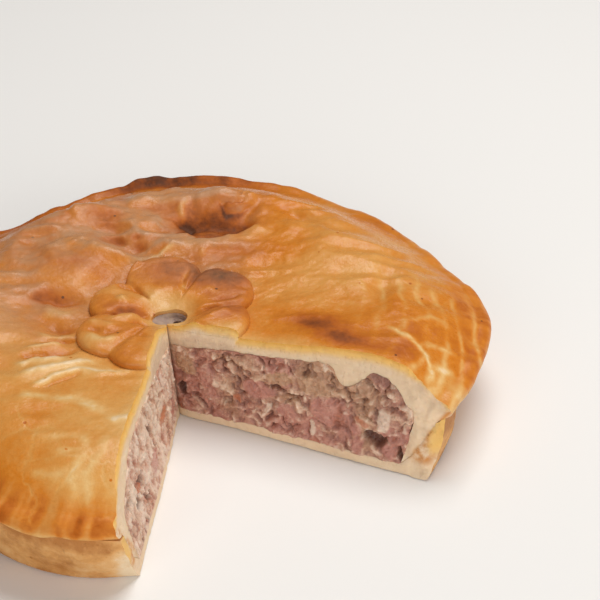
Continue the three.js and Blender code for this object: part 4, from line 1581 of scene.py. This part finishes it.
def lid_cut_tones(points, depth):
    """Yellow under the glaze, wet over the filling and in the steam hole, brown along the hem's seam."""
    x, y, z = points.T
    radius = np.hypot(x, y)
    distance, angle = from_flower(x, y)
    in_vent = distance < WELL_TOP_RADIUS * hole_form(angle) + VENT_EDGE
    wet = LID_WETNESS * between(depth, *LID_WET_DEPTHS) * (radius < LID_WET_RADIUS)
    seam_slope = (HEM_HEIGHT - HEM_ROOT[1]) / (hem_inner - HEM_ROOT[0])
    over_seam = z - HEM_ROOT[1] - (radius - HEM_ROOT[0]) * seam_slope
    return {
        "under_glaze": np.where(in_vent, 0, under_glaze(depth)),
        "wet": np.where(in_vent, VENT_WETNESS, wet),
        "seam": bell(over_seam, SEAM_WIDTH) * between(radius, *LID_SEAM_START),
    }


print("yellow dough fades to about a third at", UNDER_GLAZE_REACH, "mm under the glaze")

# %% Paint the lid
RING_PALENESS = 0.75
RING_BROWNING = 0.09
EDGE_GLOW_REACH = 4.5
EDGE_GLOW = 0.15
STREAK_START = (113.5, 121)
STREAKS_BACK = (10, 70)
STREAK_LOSS_BACK = 0.75
STREAKS_RIGHT = (20, 80)
STREAK_LOSS_RIGHT = 0.6
CRACKLE_START = (76, 100)
CRACKLE_IN_FRONT_OF = (-20, 60)
CRACKLE_LOSS_RIGHT = 0.5


def lid_colouring(points):
    """Every value that the glaze and the cut dough read from the lid."""
    x, y, z = points.T
    radius = np.hypot(x, y)
    depth = surface_height(x, y) - z
    rise, pale = folded(x, y, LID_FOLDS)
    right = right_side(x, y)
    rings = wash_rings(x, y)
    brown = lid_browning(points, depth, rise) + RING_BROWNING * right * (1 - rings)
    pale_rings = RING_PALENESS * rings * right * ring_gaps(x, y)
    near_streaks = 1 - STREAK_LOSS_BACK * between(y, *STREAKS_BACK)
    left_streaks = 1 - STREAK_LOSS_RIGHT * between(x, *STREAKS_RIGHT)
    near_crackle = 1 - between(y, *CRACKLE_IN_FRONT_OF)
    return {
        "brown": brown - EDGE_GLOW * near_cut(points, EDGE_GLOW_REACH),
        # painted sheen at the far left of the lid
        "dull": dull_places(x, y, brown),
        "pale": np.maximum(pale, pale_rings),
        "streak": between(radius, *STREAK_START) * near_streaks * left_streaks,
        "crackle": between(radius, *CRACKLE_START) * near_crackle * (1 - CRACKLE_LOSS_RIGHT * right),
        **lid_cut_tones(points, depth),
    }


paint(lid, **lid_colouring(read_points(lid)))
smooth_shaded(lid, sharp_degrees=50)
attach(lid, "root")
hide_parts("top_crust")
print("lid triangles:", triangles(lid))

# %% [markdown]
# ## Bottom crust
#
# The bottom crust was shielded from the heat by the lip, so its hem is only tan, floury and blotched, and
# browner at its foot. Along its top, under the lip, it is darker, partly browned and partly painted shade.
# It could wear the lid's finish with less browning, but it has no wash and no shine, so it gets a finish of
# its own from the same shared effects.

# %% Pale crust finish
HEM_TONES = [
    (0.0, (0.78, 0.60, 0.39)),
    (0.35, (0.73, 0.445, 0.195)),
    (0.65, (0.65, 0.32, 0.095)),
    (1.0, (0.44, 0.17, 0.03)),
]
HEM_BLOTCHES = [(70.0, 1.4), (260.0, 0.7)]
HEM_SPECKS = {"Scale": 260.0, "Size": 0.2, "Share": 0.08}
HEM_SPECK_BROWNING = 0.4
HEM_ROUGHNESS = 0.6
HEM_SHINE_BLOTCHES = [(300.0, 0.3)]
FLOUR_SCALE = 480.0
FLOUR_BUMP = (0.5, 0.0008)

tan, tree, shader, place = new_material("pale crust")
spots = times(tree, use(tree, specks, place, "Mask", **HEM_SPECKS), HEM_SPECK_BROWNING)
tone = total(tree, painted(tree, "brown"), mottled(tree, place, HEM_BLOTCHES), spots)
tree.links.new(ramp(tree, tone, HEM_TONES), shader.inputs["Base Color"])
roughness = total(tree, HEM_ROUGHNESS, mottled(tree, place, HEM_SHINE_BLOTCHES))
tree.links.new(roughness, shader.inputs["Roughness"])
bumped(tree, shader, use(tree, crumb, place, "Height", Scale=FLOUR_SCALE), *FLOUR_BUMP)
print("pale crust:", len(tree.nodes), "nodes")

# %% Bottom crust mesh
BASE_STEPS = 420
BASE_ROWS = 6
HEM_ROWS = 22
HEM_LUMP_SIZE = 14
HEM_LUMP_STRETCH = 2
HEM_LUMP_DEPTH = 0.8
HEM_LUMP_START = 4
# Direction and width in degrees, and how far the hem is lifted there.
HEM_LIFTS = [(-24, 9, 5.4), (-98, 8, 1.6), (-113, 15, 2.6)]

t = np.linspace(0, 1, HEM_ROWS)[:, None]
hem_bulge = np.array([HEM_BULGE_RADIUS, HEM_HEIGHT / 2])
hem_top = np.array([HEM_TOP_RADIUS, HEM_HEIGHT])
hem = (1 - t) ** 2 * np.array(HEM_FOOT) + 2 * t * (1 - t) * hem_bulge + t**2 * hem_top
base_profile = [
    *[(r, 0) for r in np.linspace(0, BASE_RADIUS, BASE_ROWS)],
    *hem,
    (HEM_TOP_RADIUS - HEM_TOP_WIDTH, HEM_HEIGHT),
    HEM_ROOT,
    (WALL_FOOT[0], BASE_THICKNESS),
    *[(r, BASE_THICKNESS) for r in np.linspace(WALL_FOOT[0], 0, BASE_ROWS)[1:]],
]


def shape_base(points, rows):
    """Gives the hem its lumps and lifts it at the cut; the underside stays flat and the inside plain."""
    x, y, z = points.T
    hem_end = BASE_ROWS + HEM_ROWS
    on_hem = (rows >= BASE_ROWS) & (rows < hem_end)
    around = np.arctan2(y, x) * BASE_RADIUS
    lumps = HEM_LUMP_DEPTH * layered(around, HEM_LUMP_STRETCH * z, HEM_LUMP_SIZE) * smooth(z / HEM_LUMP_START)
    moved = pushed(points, np.where(on_hem, lumps, 0))
    lift = side_reach(HEM_LIFTS, x, y)
    moved[:, 2] += np.where(on_hem, lift * smooth(z / HEM_HEIGHT), 0)
    moved[:, 2] += np.where(rows == hem_end, np.minimum(lift, GROOVE[1] - HEM_HEIGHT), 0)
    outer = (rows >= BASE_ROWS) & (rows <= hem_end)
    inner = (rows > hem_end) & (rows <= hem_end + 2)
    moved[outer] = hem_moved(moved[outer])
    moved[inner] = wall_moved(moved[inner])
    return uneven(moved)


base = turned("base", base_profile, BASE_STEPS, shape_base)
take_away(base, dough_knife, [tan, dough])
print("base:", len(base.data.polygons), "faces, materials", [m.name for m in base.data.materials])

# %% Paint the bottom crust
HEM_BROWNING = 0.72
CREAM_CORNER_REACH = 9
CREAM_CORNER = 0.70
# The top of the hem, under the lip, is darkened partly as browning and partly as painted shade.
HEM_TOP_BROWNING_AND_SHADE = 0.36
HEM_TOP_SHARE = (0.78, 1.0)
HEM_FOOT_BROWNING = 0.15
HEM_FOOT_SHARE = (0.0, 0.15)
HEM_GLOW = 0.62
HEM_GLOW_RADII = (108, 116)
HEM_GLOW_HEIGHTS = (6, 16)
FLOOR_WETNESS = 0.6
FLOOR_WET_HEIGHTS = (0.7 * BASE_THICKNESS, BASE_THICKNESS)
FLOOR_WET_INSIDE_OF = (100, 106)
HEM_SEAM_RADII = (103, 107)
HEM_SEAM_HEIGHTS = (5, 10)
HEM_SEAM_LOSS = 0.7
HEM_SEAM_OUTER_RADII = (113, 117)

points = read_points(base)
x, y, z = points.T
radius = np.hypot(x, y)
hem_share = z / HEM_HEIGHT
cream = CREAM_CORNER * (x < 0) * near_cut(points, CREAM_CORNER_REACH)
# painted shade under the lip, with some browning
browner_shaded_top = HEM_TOP_BROWNING_AND_SHADE * between(hem_share, *HEM_TOP_SHARE)
browner_foot = HEM_FOOT_BROWNING * (1 - between(hem_share, *HEM_FOOT_SHARE))
seam = between(radius, *HEM_SEAM_RADII) * between(z, *HEM_SEAM_HEIGHTS)
paint(
    base,
    brown=HEM_BROWNING - cream + browner_shaded_top + browner_foot,
    under_glaze=HEM_GLOW * between(radius, *HEM_GLOW_RADII) * between(z, *HEM_GLOW_HEIGHTS),
    wet=FLOOR_WETNESS * between(z, *FLOOR_WET_HEIGHTS) * (1 - between(radius, *FLOOR_WET_INSIDE_OF)),
    seam=seam * (1 - HEM_SEAM_LOSS * between(radius, *HEM_SEAM_OUTER_RADII)),
)
smooth_shaded(base, sharp_degrees=50)
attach(base, "root")
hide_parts("bottom_crust")
print("base triangles:", triangles(base))

# %% [markdown]
# ## The filling
#
# Minced pork with diced ham and flecks of fat: a cut through it shows round lumps of several sizes with
# dark creases between them. Folded noise gives such lumps, and the pieces that catch the eye are placed one
# by one. The same pattern moves the knife and gives the colours, so that every lump of colour is also a
# lump to the touch; creases, hollows and sunk places get painted shade as well. Cells of a Voronoi texture
# would be quicker, but they look like cut stone.

# %% Pattern of the lumps
LUMP_SIZE = 6.0
LUMP_STRETCH = 1.2
BIT_SIZE = 2.3
BIT_STRETCH = 1.1
PATTERN_SHIFTS = {"lump": 3, "bit": -5, "patch": 7}
PUFF_WIDTH = 0.7
LUMP_WANDER = 1.5
LUMP_WANDER_SIZE = 6
# For the right (1) and the left (-1) face: the lumps' long axis, and how short and how coarse they are.
LUMP_AXIS = {1: (1.0, 0.0), -1: (0.9, -0.43)}
LUMP_SHORTNESS = {1: 1.0, -1: 2.6}
LUMP_COARSENESS = {1: 1.0, -1: 1.9}


def puff(value):
    """Round puff: 0 in the crease between two puffs, 1 on top."""
    return 1 - (1 - np.clip(np.abs(value) / PUFF_WIDTH, 0, 1)) ** 2


def meat_pattern(s, z, side):
    """Wandering places on the cut, and the noise of lumps, of bits and of patches there."""
    shift = LUMP_SHIFT_PER_FACE * side
    u = s + LUMP_WANDER * layered(s + shift, z, LUMP_WANDER_SIZE)
    v = z + LUMP_WANDER * layered(z, s - shift, LUMP_WANDER_SIZE)
    a, b = LUMP_AXIS[side]
    along = LUMP_SHORTNESS[side] / LUMP_COARSENESS[side] * (a * u + b * v)
    across = (a * v - b * u) / LUMP_COARSENESS[side]
    lump = layered(along + PATTERN_SHIFTS["lump"] * shift, LUMP_STRETCH * across, LUMP_SIZE, layers=2)
    bit = layered(along + PATTERN_SHIFTS["bit"] * shift, BIT_STRETCH * across, BIT_SIZE)
    patch = layered(along + PATTERN_SHIFTS["patch"] * shift, across, 2 * LUMP_SIZE, layers=2)
    return u, v, lump, bit, patch


print("lumps of", LUMP_SIZE, "mm and bits of", BIT_SIZE, "mm")

# %% Kinds of meat
# Shares for the right (1) and the left (-1) face.
HAM_SHARE = {1: 0.9, -1: 0.3}
BEIGE_SHARE = {1: 0.8, -1: 0.25}
FAT_SHARE = {1: 0.75, -1: 0.8}
FAT_START = {1: 0.35, -1: 0.05}
FAT_SPREAD = 0.8
RED_SHARE = 0.6
HOLLOW_SHARE = 0.2
HAM_BELOW = (10, 26)
HAM_LOW = 0.35
HAM_SPAN = (0.1, 0.8)
BEIGE_ABOVE = (18, 32)
BEIGE_HIGH = 0.5
BEIGE_SPAN = (0.1, 0.9)
RED_SPAN = (1.2, 1.7)


def meat_kinds(z, side, bit, patch, gaps):
    """How much there is of each kind of meat, before the single pieces are laid in."""
    ham_low = HAM_LOW * (1 - between(z, *HAM_BELOW))
    beige_high = BEIGE_HIGH * between(z, *BEIGE_ABOVE)
    return {
        "ham": HAM_SHARE[side] * between(ham_low - patch, *HAM_SPAN),
        "beige": BEIGE_SHARE[side] * between(patch + beige_high, *BEIGE_SPAN),
        "fat": FAT_SHARE[side] * between(bit, FAT_START[side], FAT_START[side] + FAT_SPREAD),
        "red": RED_SHARE * between(-patch - bit, *RED_SPAN),
        "hollow": HOLLOW_SHARE * gaps,
    }


print("ham on the right face:", HAM_SHARE[1], "and on the left:", HAM_SHARE[-1])

# %% Pieces that catch the eye
# Side, kind, distance along the face, height, half length, half height.
# A hollow is sunk into the cut and also painted dark as painted shade.
MEAT_PIECES = [
    (1, "ham", 67.0, 20.0, 6.2, 5.6),
    (1, "ham", 38.5, 23.0, 7.5, 3.6),
    (1, "ham", 13.5, 24.0, 3.4, 4.0),
    (1, "red", 27.5, 17.0, 2.2, 2.0),
    (1, "ham", 49.5, 14.5, 4.4, 3.6),
    (1, "fat", 41.0, 15.5, 1.6, 2.2),
    (1, "fat", 18.5, 21.5, 1.8, 1.6),
    (1, "fat", 61.5, 10.5, 1.9, 2.4),
    (1, "beige", 6.0, 28.0, 5.0, 5.0),
    (1, "hollow", 3.0, 15.0, 1.6, 4.0),
    (1, "hollow", 89.0, 13.0, 5.4, 2.8),
    (1, "ham", 81.0, 9.0, 3.0, 4.0),
    (1, "ham", 79.5, 15.0, 2.6, 2.2),
    (1, "red", 83.5, 18.5, 3.0, 1.5),
    (1, "ham", 94.5, 9.0, 3.0, 2.8),
    (1, "fat", 93.0, 21.0, 3.4, 4.0),
    (1, "beige", 63.0, 30.0, 6.5, 4.4),
    (1, "beige", 48.0, 31.0, 6.0, 3.0),
    (1, "hollow", 98.5, 8.0, 1.3, 2.6),
    (1, "hollow", 46.5, 26.5, 2.0, 1.0),
    (-1, "red", 28.0, 20.5, 6.0, 2.2),
    (-1, "ham", 10.5, 13.0, 4.6, 3.0),
    (-1, "hollow", 49.5, 30.0, 3.4, 2.2),
    (-1, "hollow", 73.0, 25.5, 5.0, 2.5),
    (-1, "hollow", 80.0, 20.5, 3.0, 3.2),
    (-1, "hollow", 66.5, 11.5, 3.2, 1.9),
    (-1, "red", 76.5, 25.5, 3.4, 1.4),
    (-1, "fat", 26.5, 26.0, 6.0, 2.6),
    (-1, "ham", 51.0, 17.5, 6.0, 3.4),
    (-1, "fat", 63.5, 29.5, 3.8, 1.9),
    (-1, "fat", 61.0, 20.0, 4.8, 1.6),
]

print("pieces laid in:", len(MEAT_PIECES))

# %% Relief of the meat on the cut
LUMP_RELIEF = {1: 1.0, -1: 0.6}
LUMP_HEIGHT = 1.0
LUMP_MIDDLE = 0.6
BIT_HEIGHT = 0.75
GRIT_SIZE = 1.2
GRIT_HEIGHT = 0.42
LOOSE_SIZE = (9, 7)
LOOSE_SPAN = (0.3, 0.75)
GAP_WIDTH = 0.16
PIECE_EDGE = (1.15, 0.8)
PIECE_SMOOTHNESS = 0.6
PIECE_STAND = 0.4
HOLLOW_DEPTH = 4.0
EDGE_CALM = 2.2
EDGE_STAND = 0.25
CREVICE_START = (86, 91)
CREVICE_REACH = 2.6
FLECK_TONE = 0.37
FLECK_LUMPS = 0.15
FLECK_SHARPNESS = 2.5
FLECK_BITS = 0.34
SUNK_SPAN = (0.25, 1.3)
# Painted shade: how much darker gaps, sunk places and the crevice under the lid are painted.
GAP_PAINTED_SHADE = 0.30
SUNK_PAINTED_SHADE = 0.45
CREVICE_PAINTED_SHADE = {1: 0.5, -1: 0.0}


def roof(s, side):
    """Height of the lid's underside along one face of the cut."""
    tip, along, _ = face_frame(np.full(np.shape(s), CENTRE_HEIGHT - LID_THICKNESS), side)
    x, y = np.moveaxis(tip + along * s[..., None], -1, 0)
    return lid_under(np.hypot(x, y)) - roll_drop(x, y)


def meat(s, z, side):
    """How far the meat stands out at places of the cut, and how much of each kind is there."""
    shift = LUMP_SHIFT_PER_FACE * side
    u, v, lump, bit, patch = meat_pattern(s, z, side)
    loose = between(noise(s / LOOSE_SIZE[0] + shift, z / LOOSE_SIZE[1]), *LOOSE_SPAN)
    gaps = (1 - between(np.abs(lump), 0, GAP_WIDTH)) * loose
    kinds = meat_kinds(z, side, bit, patch, gaps * loose)
    height = LUMP_RELIEF[side] * (LUMP_HEIGHT * (puff(lump) - LUMP_MIDDLE) + BIT_HEIGHT * bit)
    for piece_side, kind, middle, tall, half_long, half_tall in MEAT_PIECES:
        away = np.hypot((u - middle) / half_long, (v - tall) / half_tall)
        inside = float(side == piece_side) * between(away, *PIECE_EDGE)
        kinds = {name: value * (1 - inside) for name, value in kinds.items()}
        kinds[kind] = kinds[kind] + inside
        height = height * (1 - PIECE_SMOOTHNESS * inside) + PIECE_STAND * inside
        gaps = gaps * (1 - inside)
    height = height + GRIT_HEIGHT * layered(s - shift, z, GRIT_SIZE)
    under_roof = roof(s, side) - z
    calm = between(under_roof, 0, EDGE_CALM) * between(z, BASE_THICKNESS, BASE_THICKNESS + EDGE_CALM)
    crevice = between(s, *CREVICE_START) * bell(under_roof, CREVICE_REACH)
    kinds["fleck"] = FLECK_TONE + FLECK_LUMPS * np.tanh(FLECK_SHARPNESS * lump) + FLECK_BITS * bit
    # Painted shade in gaps, sunk places, hollows and the crevice under the lid goes into deep.
    dark = GAP_PAINTED_SHADE * gaps + SUNK_PAINTED_SHADE * between(-height, *SUNK_SPAN)
    kinds["deep"] = np.clip(dark + kinds["hollow"] + CREVICE_PAINTED_SHADE[side] * crevice, 0, 1)
    height = np.where(height < 0, height * calm, height) + EDGE_STAND
    return height - HOLLOW_DEPTH * kinds["hollow"] * calm, kinds


print("heights of lumps, bits and grit:", LUMP_HEIGHT, BIT_HEIGHT, GRIT_HEIGHT, "mm")

# %% Knife for the filling
MEAT_KNIFE_SPACING = 0.42
MEAT_KNIFE_REACH = 112
MEAT_KNIFE_HEIGHTS = (3, 44)
MEAT_TIP_FADE = 3


def meat_relief(s, z, side):
    """How deep the knife bit into the filling."""
    return dough_lumps(s, z, side) - meat(s, z, side)[0] * smooth(s / MEAT_TIP_FADE)


meat_knife = knife("meat_knife", meat_relief, MEAT_KNIFE_SPACING, MEAT_KNIFE_REACH, *MEAT_KNIFE_HEIGHTS)
print("meat knife:", len(meat_knife.data.polygons), "faces")

# %% [markdown]
# ## Finish of the meat
#
# Cooked pork is mauve to beige, ham is pinker and smoother, fat is nearly white. All of it is moist, so it
# shines a little, and light sinks into it, which subsurface scattering gives. Each kind could be a material
# of its own, but in one material with a mask for each kind they run into each other as minced meat does.

# %% Finish of the meat
MINCE_TONES = [
    (0.00, (0.28, 0.115, 0.075)),
    (0.38, (0.47, 0.225, 0.145)),
    (0.75, (0.68, 0.43, 0.29)),
    (1.00, (0.80, 0.60, 0.46)),
]
MINCE_BLOTCHES = [(450.0, 0.42), (1100.0, 0.62)]
HAM = (0.50, 0.20, 0.148)
BEIGE = (0.49, 0.275, 0.145)
FAT = (0.80, 0.61, 0.46)
RED = (0.46, 0.115, 0.03)
KIND_MOTTLING = 0.3
# Painted shade: the colour that gaps, hollows and crevices are darkened to.
PAINTED_SHADE = (0.10, 0.028, 0.014)
PAINTED_SHADE_SHARE = 0.88
MINCE_ROUGHNESS = 0.34
MOIST_BLOTCHES = [(700.0, 0.4)]
MINCE_DEPTH = (0.15, (1.0, 0.45, 0.3), 0.002)
FIBRE_SCALE = 700.0
FIBRE_BUMP = (0.7, 0.0008)

mince, tree, shader, place = new_material("minced meat")
tone = total(tree, painted(tree, "fleck"), mottled(tree, place, MINCE_BLOTCHES))
colour = ramp(tree, tone, MINCE_TONES)
for name, tint in (("beige", BEIGE), ("ham", HAM), ("fat", FAT), ("red", RED)):
    colour = mixed(tree, painted(tree, name), colour, mixed(tree, KIND_MOTTLING, tint, colour))
# Painted shade darkens the meat by the deep value on the mesh.
colour = mixed(tree, times(tree, painted(tree, "deep"), PAINTED_SHADE_SHARE), colour, PAINTED_SHADE)
tree.links.new(colour, shader.inputs["Base Color"])
roughness = total(tree, MINCE_ROUGHNESS, mottled(tree, place, MOIST_BLOTCHES))
tree.links.new(roughness, shader.inputs["Roughness"])
let_light_in(shader, *MINCE_DEPTH)
bumped(tree, shader, use(tree, crumb, place, "Height", Scale=FIBRE_SCALE), *FIBRE_BUMP)
print("minced meat:", len(tree.nodes), "nodes")

# %% [markdown]
# ## Body of the filling
#
# The filling is a thick disc that lies on the bottom crust, presses against the wall and the lid here and
# there, and has shrunk away from the lid's shoulder. Its edges are ragged where the cut shows them. It could
# be poured from many small pieces, but only the cut is seen, so one solid with rough faces is enough.

# %% Profile of the filling
SHRINK_DEPTH = 3
FILLING_SIDE_CLEARANCE = 0.5
FILLING_SIDE_ROWS = 8
FILLING_ROWS = 70

filling_floor = BASE_THICKNESS + GAP
filling_side = rounded(
    [
        (WALL_FOOT[0] - FILLING_SIDE_CLEARANCE, filling_floor),
        (WALL_WAIST[0] - FILLING_SIDE_CLEARANCE, WALL_WAIST[1]),
        (WALL_BULGE[0] - 2 * FILLING_SIDE_CLEARANCE, WALL_BULGE[1]),
        (WALL_BEND[0] - FILLING_SIDE_CLEARANCE, WALL_BEND[1] - SHRINK_DEPTH),
    ],
    FILLING_SIDE_ROWS,
)
floor_radii = np.linspace(0, WALL_FOOT[0] - FILLING_SIDE_CLEARANCE, FILLING_ROWS, endpoint=False)


def shrunk_share(radius):
    """Share by which the filling has shrunk away from the lid: full at its outer shoulder."""
    return between(radius, SHOULDER_THICKENING_START, UNDERSIDE_RADIUS)


filling_profile = [
    *[(r, filling_floor) for r in floor_radii],
    *filling_side,
    *[
        (r, lid_under(r) - GAP - SHRINK_DEPTH * shrunk_share(r))
        for r in np.linspace(UNDERSIDE_RADIUS, 0, FILLING_ROWS)
    ],
]
print("rows of the filling:", len(filling_profile))

# %% Filling mesh
FILLING_STEPS = 230
SHRINK_LEAST = 0.75
SHRINK_SIZE = (14, 9)
BULGE_SIZE = (11, 5)
BULGE_START = (94, 102)
RAGGED_SIZE = 3.2
RAGGED_DEPTH = 0.55


def shape_filling(points, rows):
    """Presses the filling against the wall and the lid here and there, and below the hanging roll."""
    x, y, z = points.T
    around = np.arctan2(y, x) * BASE_RADIUS
    radius = np.hypot(x, y)
    on_floor = rows < FILLING_ROWS
    on_top = rows >= FILLING_ROWS + len(filling_side)
    on_side = ~on_floor & ~on_top
    bulges = noise(around / BULGE_SIZE[0], z / BULGE_SIZE[1]) * between(radius, *BULGE_START)
    rough = layered(np.where(on_side, around, x), np.where(on_side, z, y), RAGGED_SIZE, layers=2)
    ragged = RAGGED_DEPTH * (1 + rough)
    moved = pushed(points, FILLING_SIDE_CLEARANCE * bulges + np.where(on_side, ragged, 0))
    filled = noise(around / SHRINK_SIZE[0], radius / SHRINK_SIZE[1])
    filled = (SHRINK_LEAST + (1 - SHRINK_LEAST) * filled) * shrunk_share(radius) * (z > WALL_BULGE[1])
    moved[:, 2] += SHRINK_DEPTH * filled
    moved[:, 2] += np.where(on_top, ragged - roll_drop(x, y), 0) - np.where(on_floor, ragged, 0)
    moved[:, 2] = np.where(on_top, under_dents(x, y, moved[:, 2] + GAP) - GAP, moved[:, 2])
    moved[on_side] = wall_moved(moved[on_side])
    return uneven(moved)


filling = turned("filling_meat", filling_profile, FILLING_STEPS, shape_filling)
take_away(filling, meat_knife, [mince, mince])
print("filling:", len(filling.data.polygons), "faces")

# %% Paint the filling
LEFT_TONE = 0.39

points = read_points(filling)
side, distance, _ = face_place(points)
# deep holds the painted shade of gaps, hollows and crevices.
values = {name: np.zeros(len(side)) for name in ("ham", "beige", "fat", "red", "fleck", "deep")}
for face in (1, -1):
    here = side == face
    kinds = meat(distance[here], points[here, 2], face)[1]
    for name in values:
        values[name][here] = kinds[name]
values["fleck"] += LEFT_TONE * (side < 0)
paint(filling, **values)
smooth_shaded(filling, sharp_degrees=70)
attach(filling, "root")
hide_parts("filling")
print("filling triangles:", triangles(filling))

# %% [markdown]
# ## The flower
#
# The flower's mesh is a ring of rows: along its underside from the hole to the edge, and back over its top.
# Rows crowd together at the edge, where the dough turns down. It could be raised from the lid's own mesh, but
# on the real pie it is a piece of its own that was laid on. It wears the same glaze as the lid.

# %% Flower mesh
FLOWER_GAP = 0.05
FLOWER_STEPS = 360
FLOWER_UNDER_ROWS = 8
FLOWER_TOP_ROWS = 70

under = np.linspace(0, 1, FLOWER_UNDER_ROWS)
over = np.sin(np.linspace(1, 0, FLOWER_TOP_ROWS) * math.pi / 2)
turn = np.arange(FLOWER_STEPS) * 2 * math.pi / FLOWER_STEPS
along, angle = np.meshgrid(np.concatenate([under, over]), turn, indexing="ij")
upper = np.arange(len(along))[:, None] >= FLOWER_UNDER_ROWS
hole = FLOWER_HOLE_RADIUS * hole_form(angle)
radius = hole + (flower_reach(angle)[0] - hole) * along
x = FLOWER[0] + radius * np.cos(angle)
y = FLOWER[1] + radius * np.sin(angle)
ground = lid_top(np.hypot(x, y)) + lid_relief(x, y) + lid_skin(x, y) + FLOWER_GAP
points = np.stack([x, y, ground + upper * flower_height(x, y)], axis=-1).reshape(-1, 3)
faces = ring_faces(len(along), FLOWER_STEPS, 0, closed=True)
flower = mesh_piece("dough_flower", uneven(points), faces)
take_away(flower, dough_knife, [glaze, dough])
print("flower:", len(flower.data.polygons), "faces")

# %% Paint the flower
FLOWER_BROWNING = 0.62
# Middle, half length, half width, turn of the long axis in degrees, and browning of each oval.
FLOWER_PATCHES = [
    # The first two ovals darken the far lobes, partly browning and partly a painted shadow.
    (-7, 26, 22, 15, 0, 0.22),
    (17, 18, 18, 15, 30, 0.26),
    (14, -6, 13, 5, 25, 0.16),
    (-22, -1, 10, 5, 0, 0.18),
    (-33, -16, 9, 4, 0, 0.10),
    (-32, -25, 12, 6, 0, -0.12),
    (-32, 12, 8, 6, 0, -0.08),
    (-3, 9, 14, 8, 0, -0.20),
    (-14, 8, 8, 5, -30, -0.14),
    (-6, -3, 11, 10, 0, -0.36),
    (20, -14, 10, 5, 20, -0.1),
]
FLOWER_VALLEY_BROWNING_AND_SHADE = 0.08
FLOWER_VALLEY_LIMITS = (-0.8, 1.4)
FLOWER_UNEVEN_BROWNING = 0.06
FLOWER_UNEVEN_SIZE = 14
# Painted sheen on the flower, more on its far lobes.
FLOWER_SHEEN = 0.12
FLOWER_SHEEN_BACK = 0.18
FLOWER_BACK = (8, 30)

points = read_points(flower)
x, y, z = points.T
rise, pale = folded(x, y, FLOWER_FOLDS)
browning = FLOWER_BROWNING + sum(hill(x, y, patch) for patch in FLOWER_PATCHES)
# Valleys of the flower's folds get darker, partly browning and partly painted shade.
browning += FLOWER_VALLEY_BROWNING_AND_SHADE * np.clip(-rise, *FLOWER_VALLEY_LIMITS)
browning += FLOWER_UNEVEN_BROWNING * layered(x, y, FLOWER_UNEVEN_SIZE)
nothing = np.zeros(len(x))
paint(
    flower,
    brown=browning - EDGE_GLOW * near_cut(points, EDGE_GLOW_REACH),
    # the flower's painted sheen
    dull=FLOWER_SHEEN + FLOWER_SHEEN_BACK * between(y, *FLOWER_BACK),
    pale=pale,
    under_glaze=under_glaze(surface_height(x, y) - z),
    streak=nothing,
    crackle=nothing,
    wet=nothing,
    seam=nothing,
)
smooth_shaded(flower, sharp_degrees=60)
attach(flower, "root")
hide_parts("pastry_flower")
print("flower triangles:", triangles(flower))

# %% [markdown]
# ## Last steps
#
# The knives were tools and are no part of the pie, so they go.

# %% Put the knives away
for tool in (dough_knife, meat_knife):
    bpy.data.objects.remove(tool)

# %% Finish
print("pieces of the pie:", [piece.name for piece in (lid, base, filling, flower)])
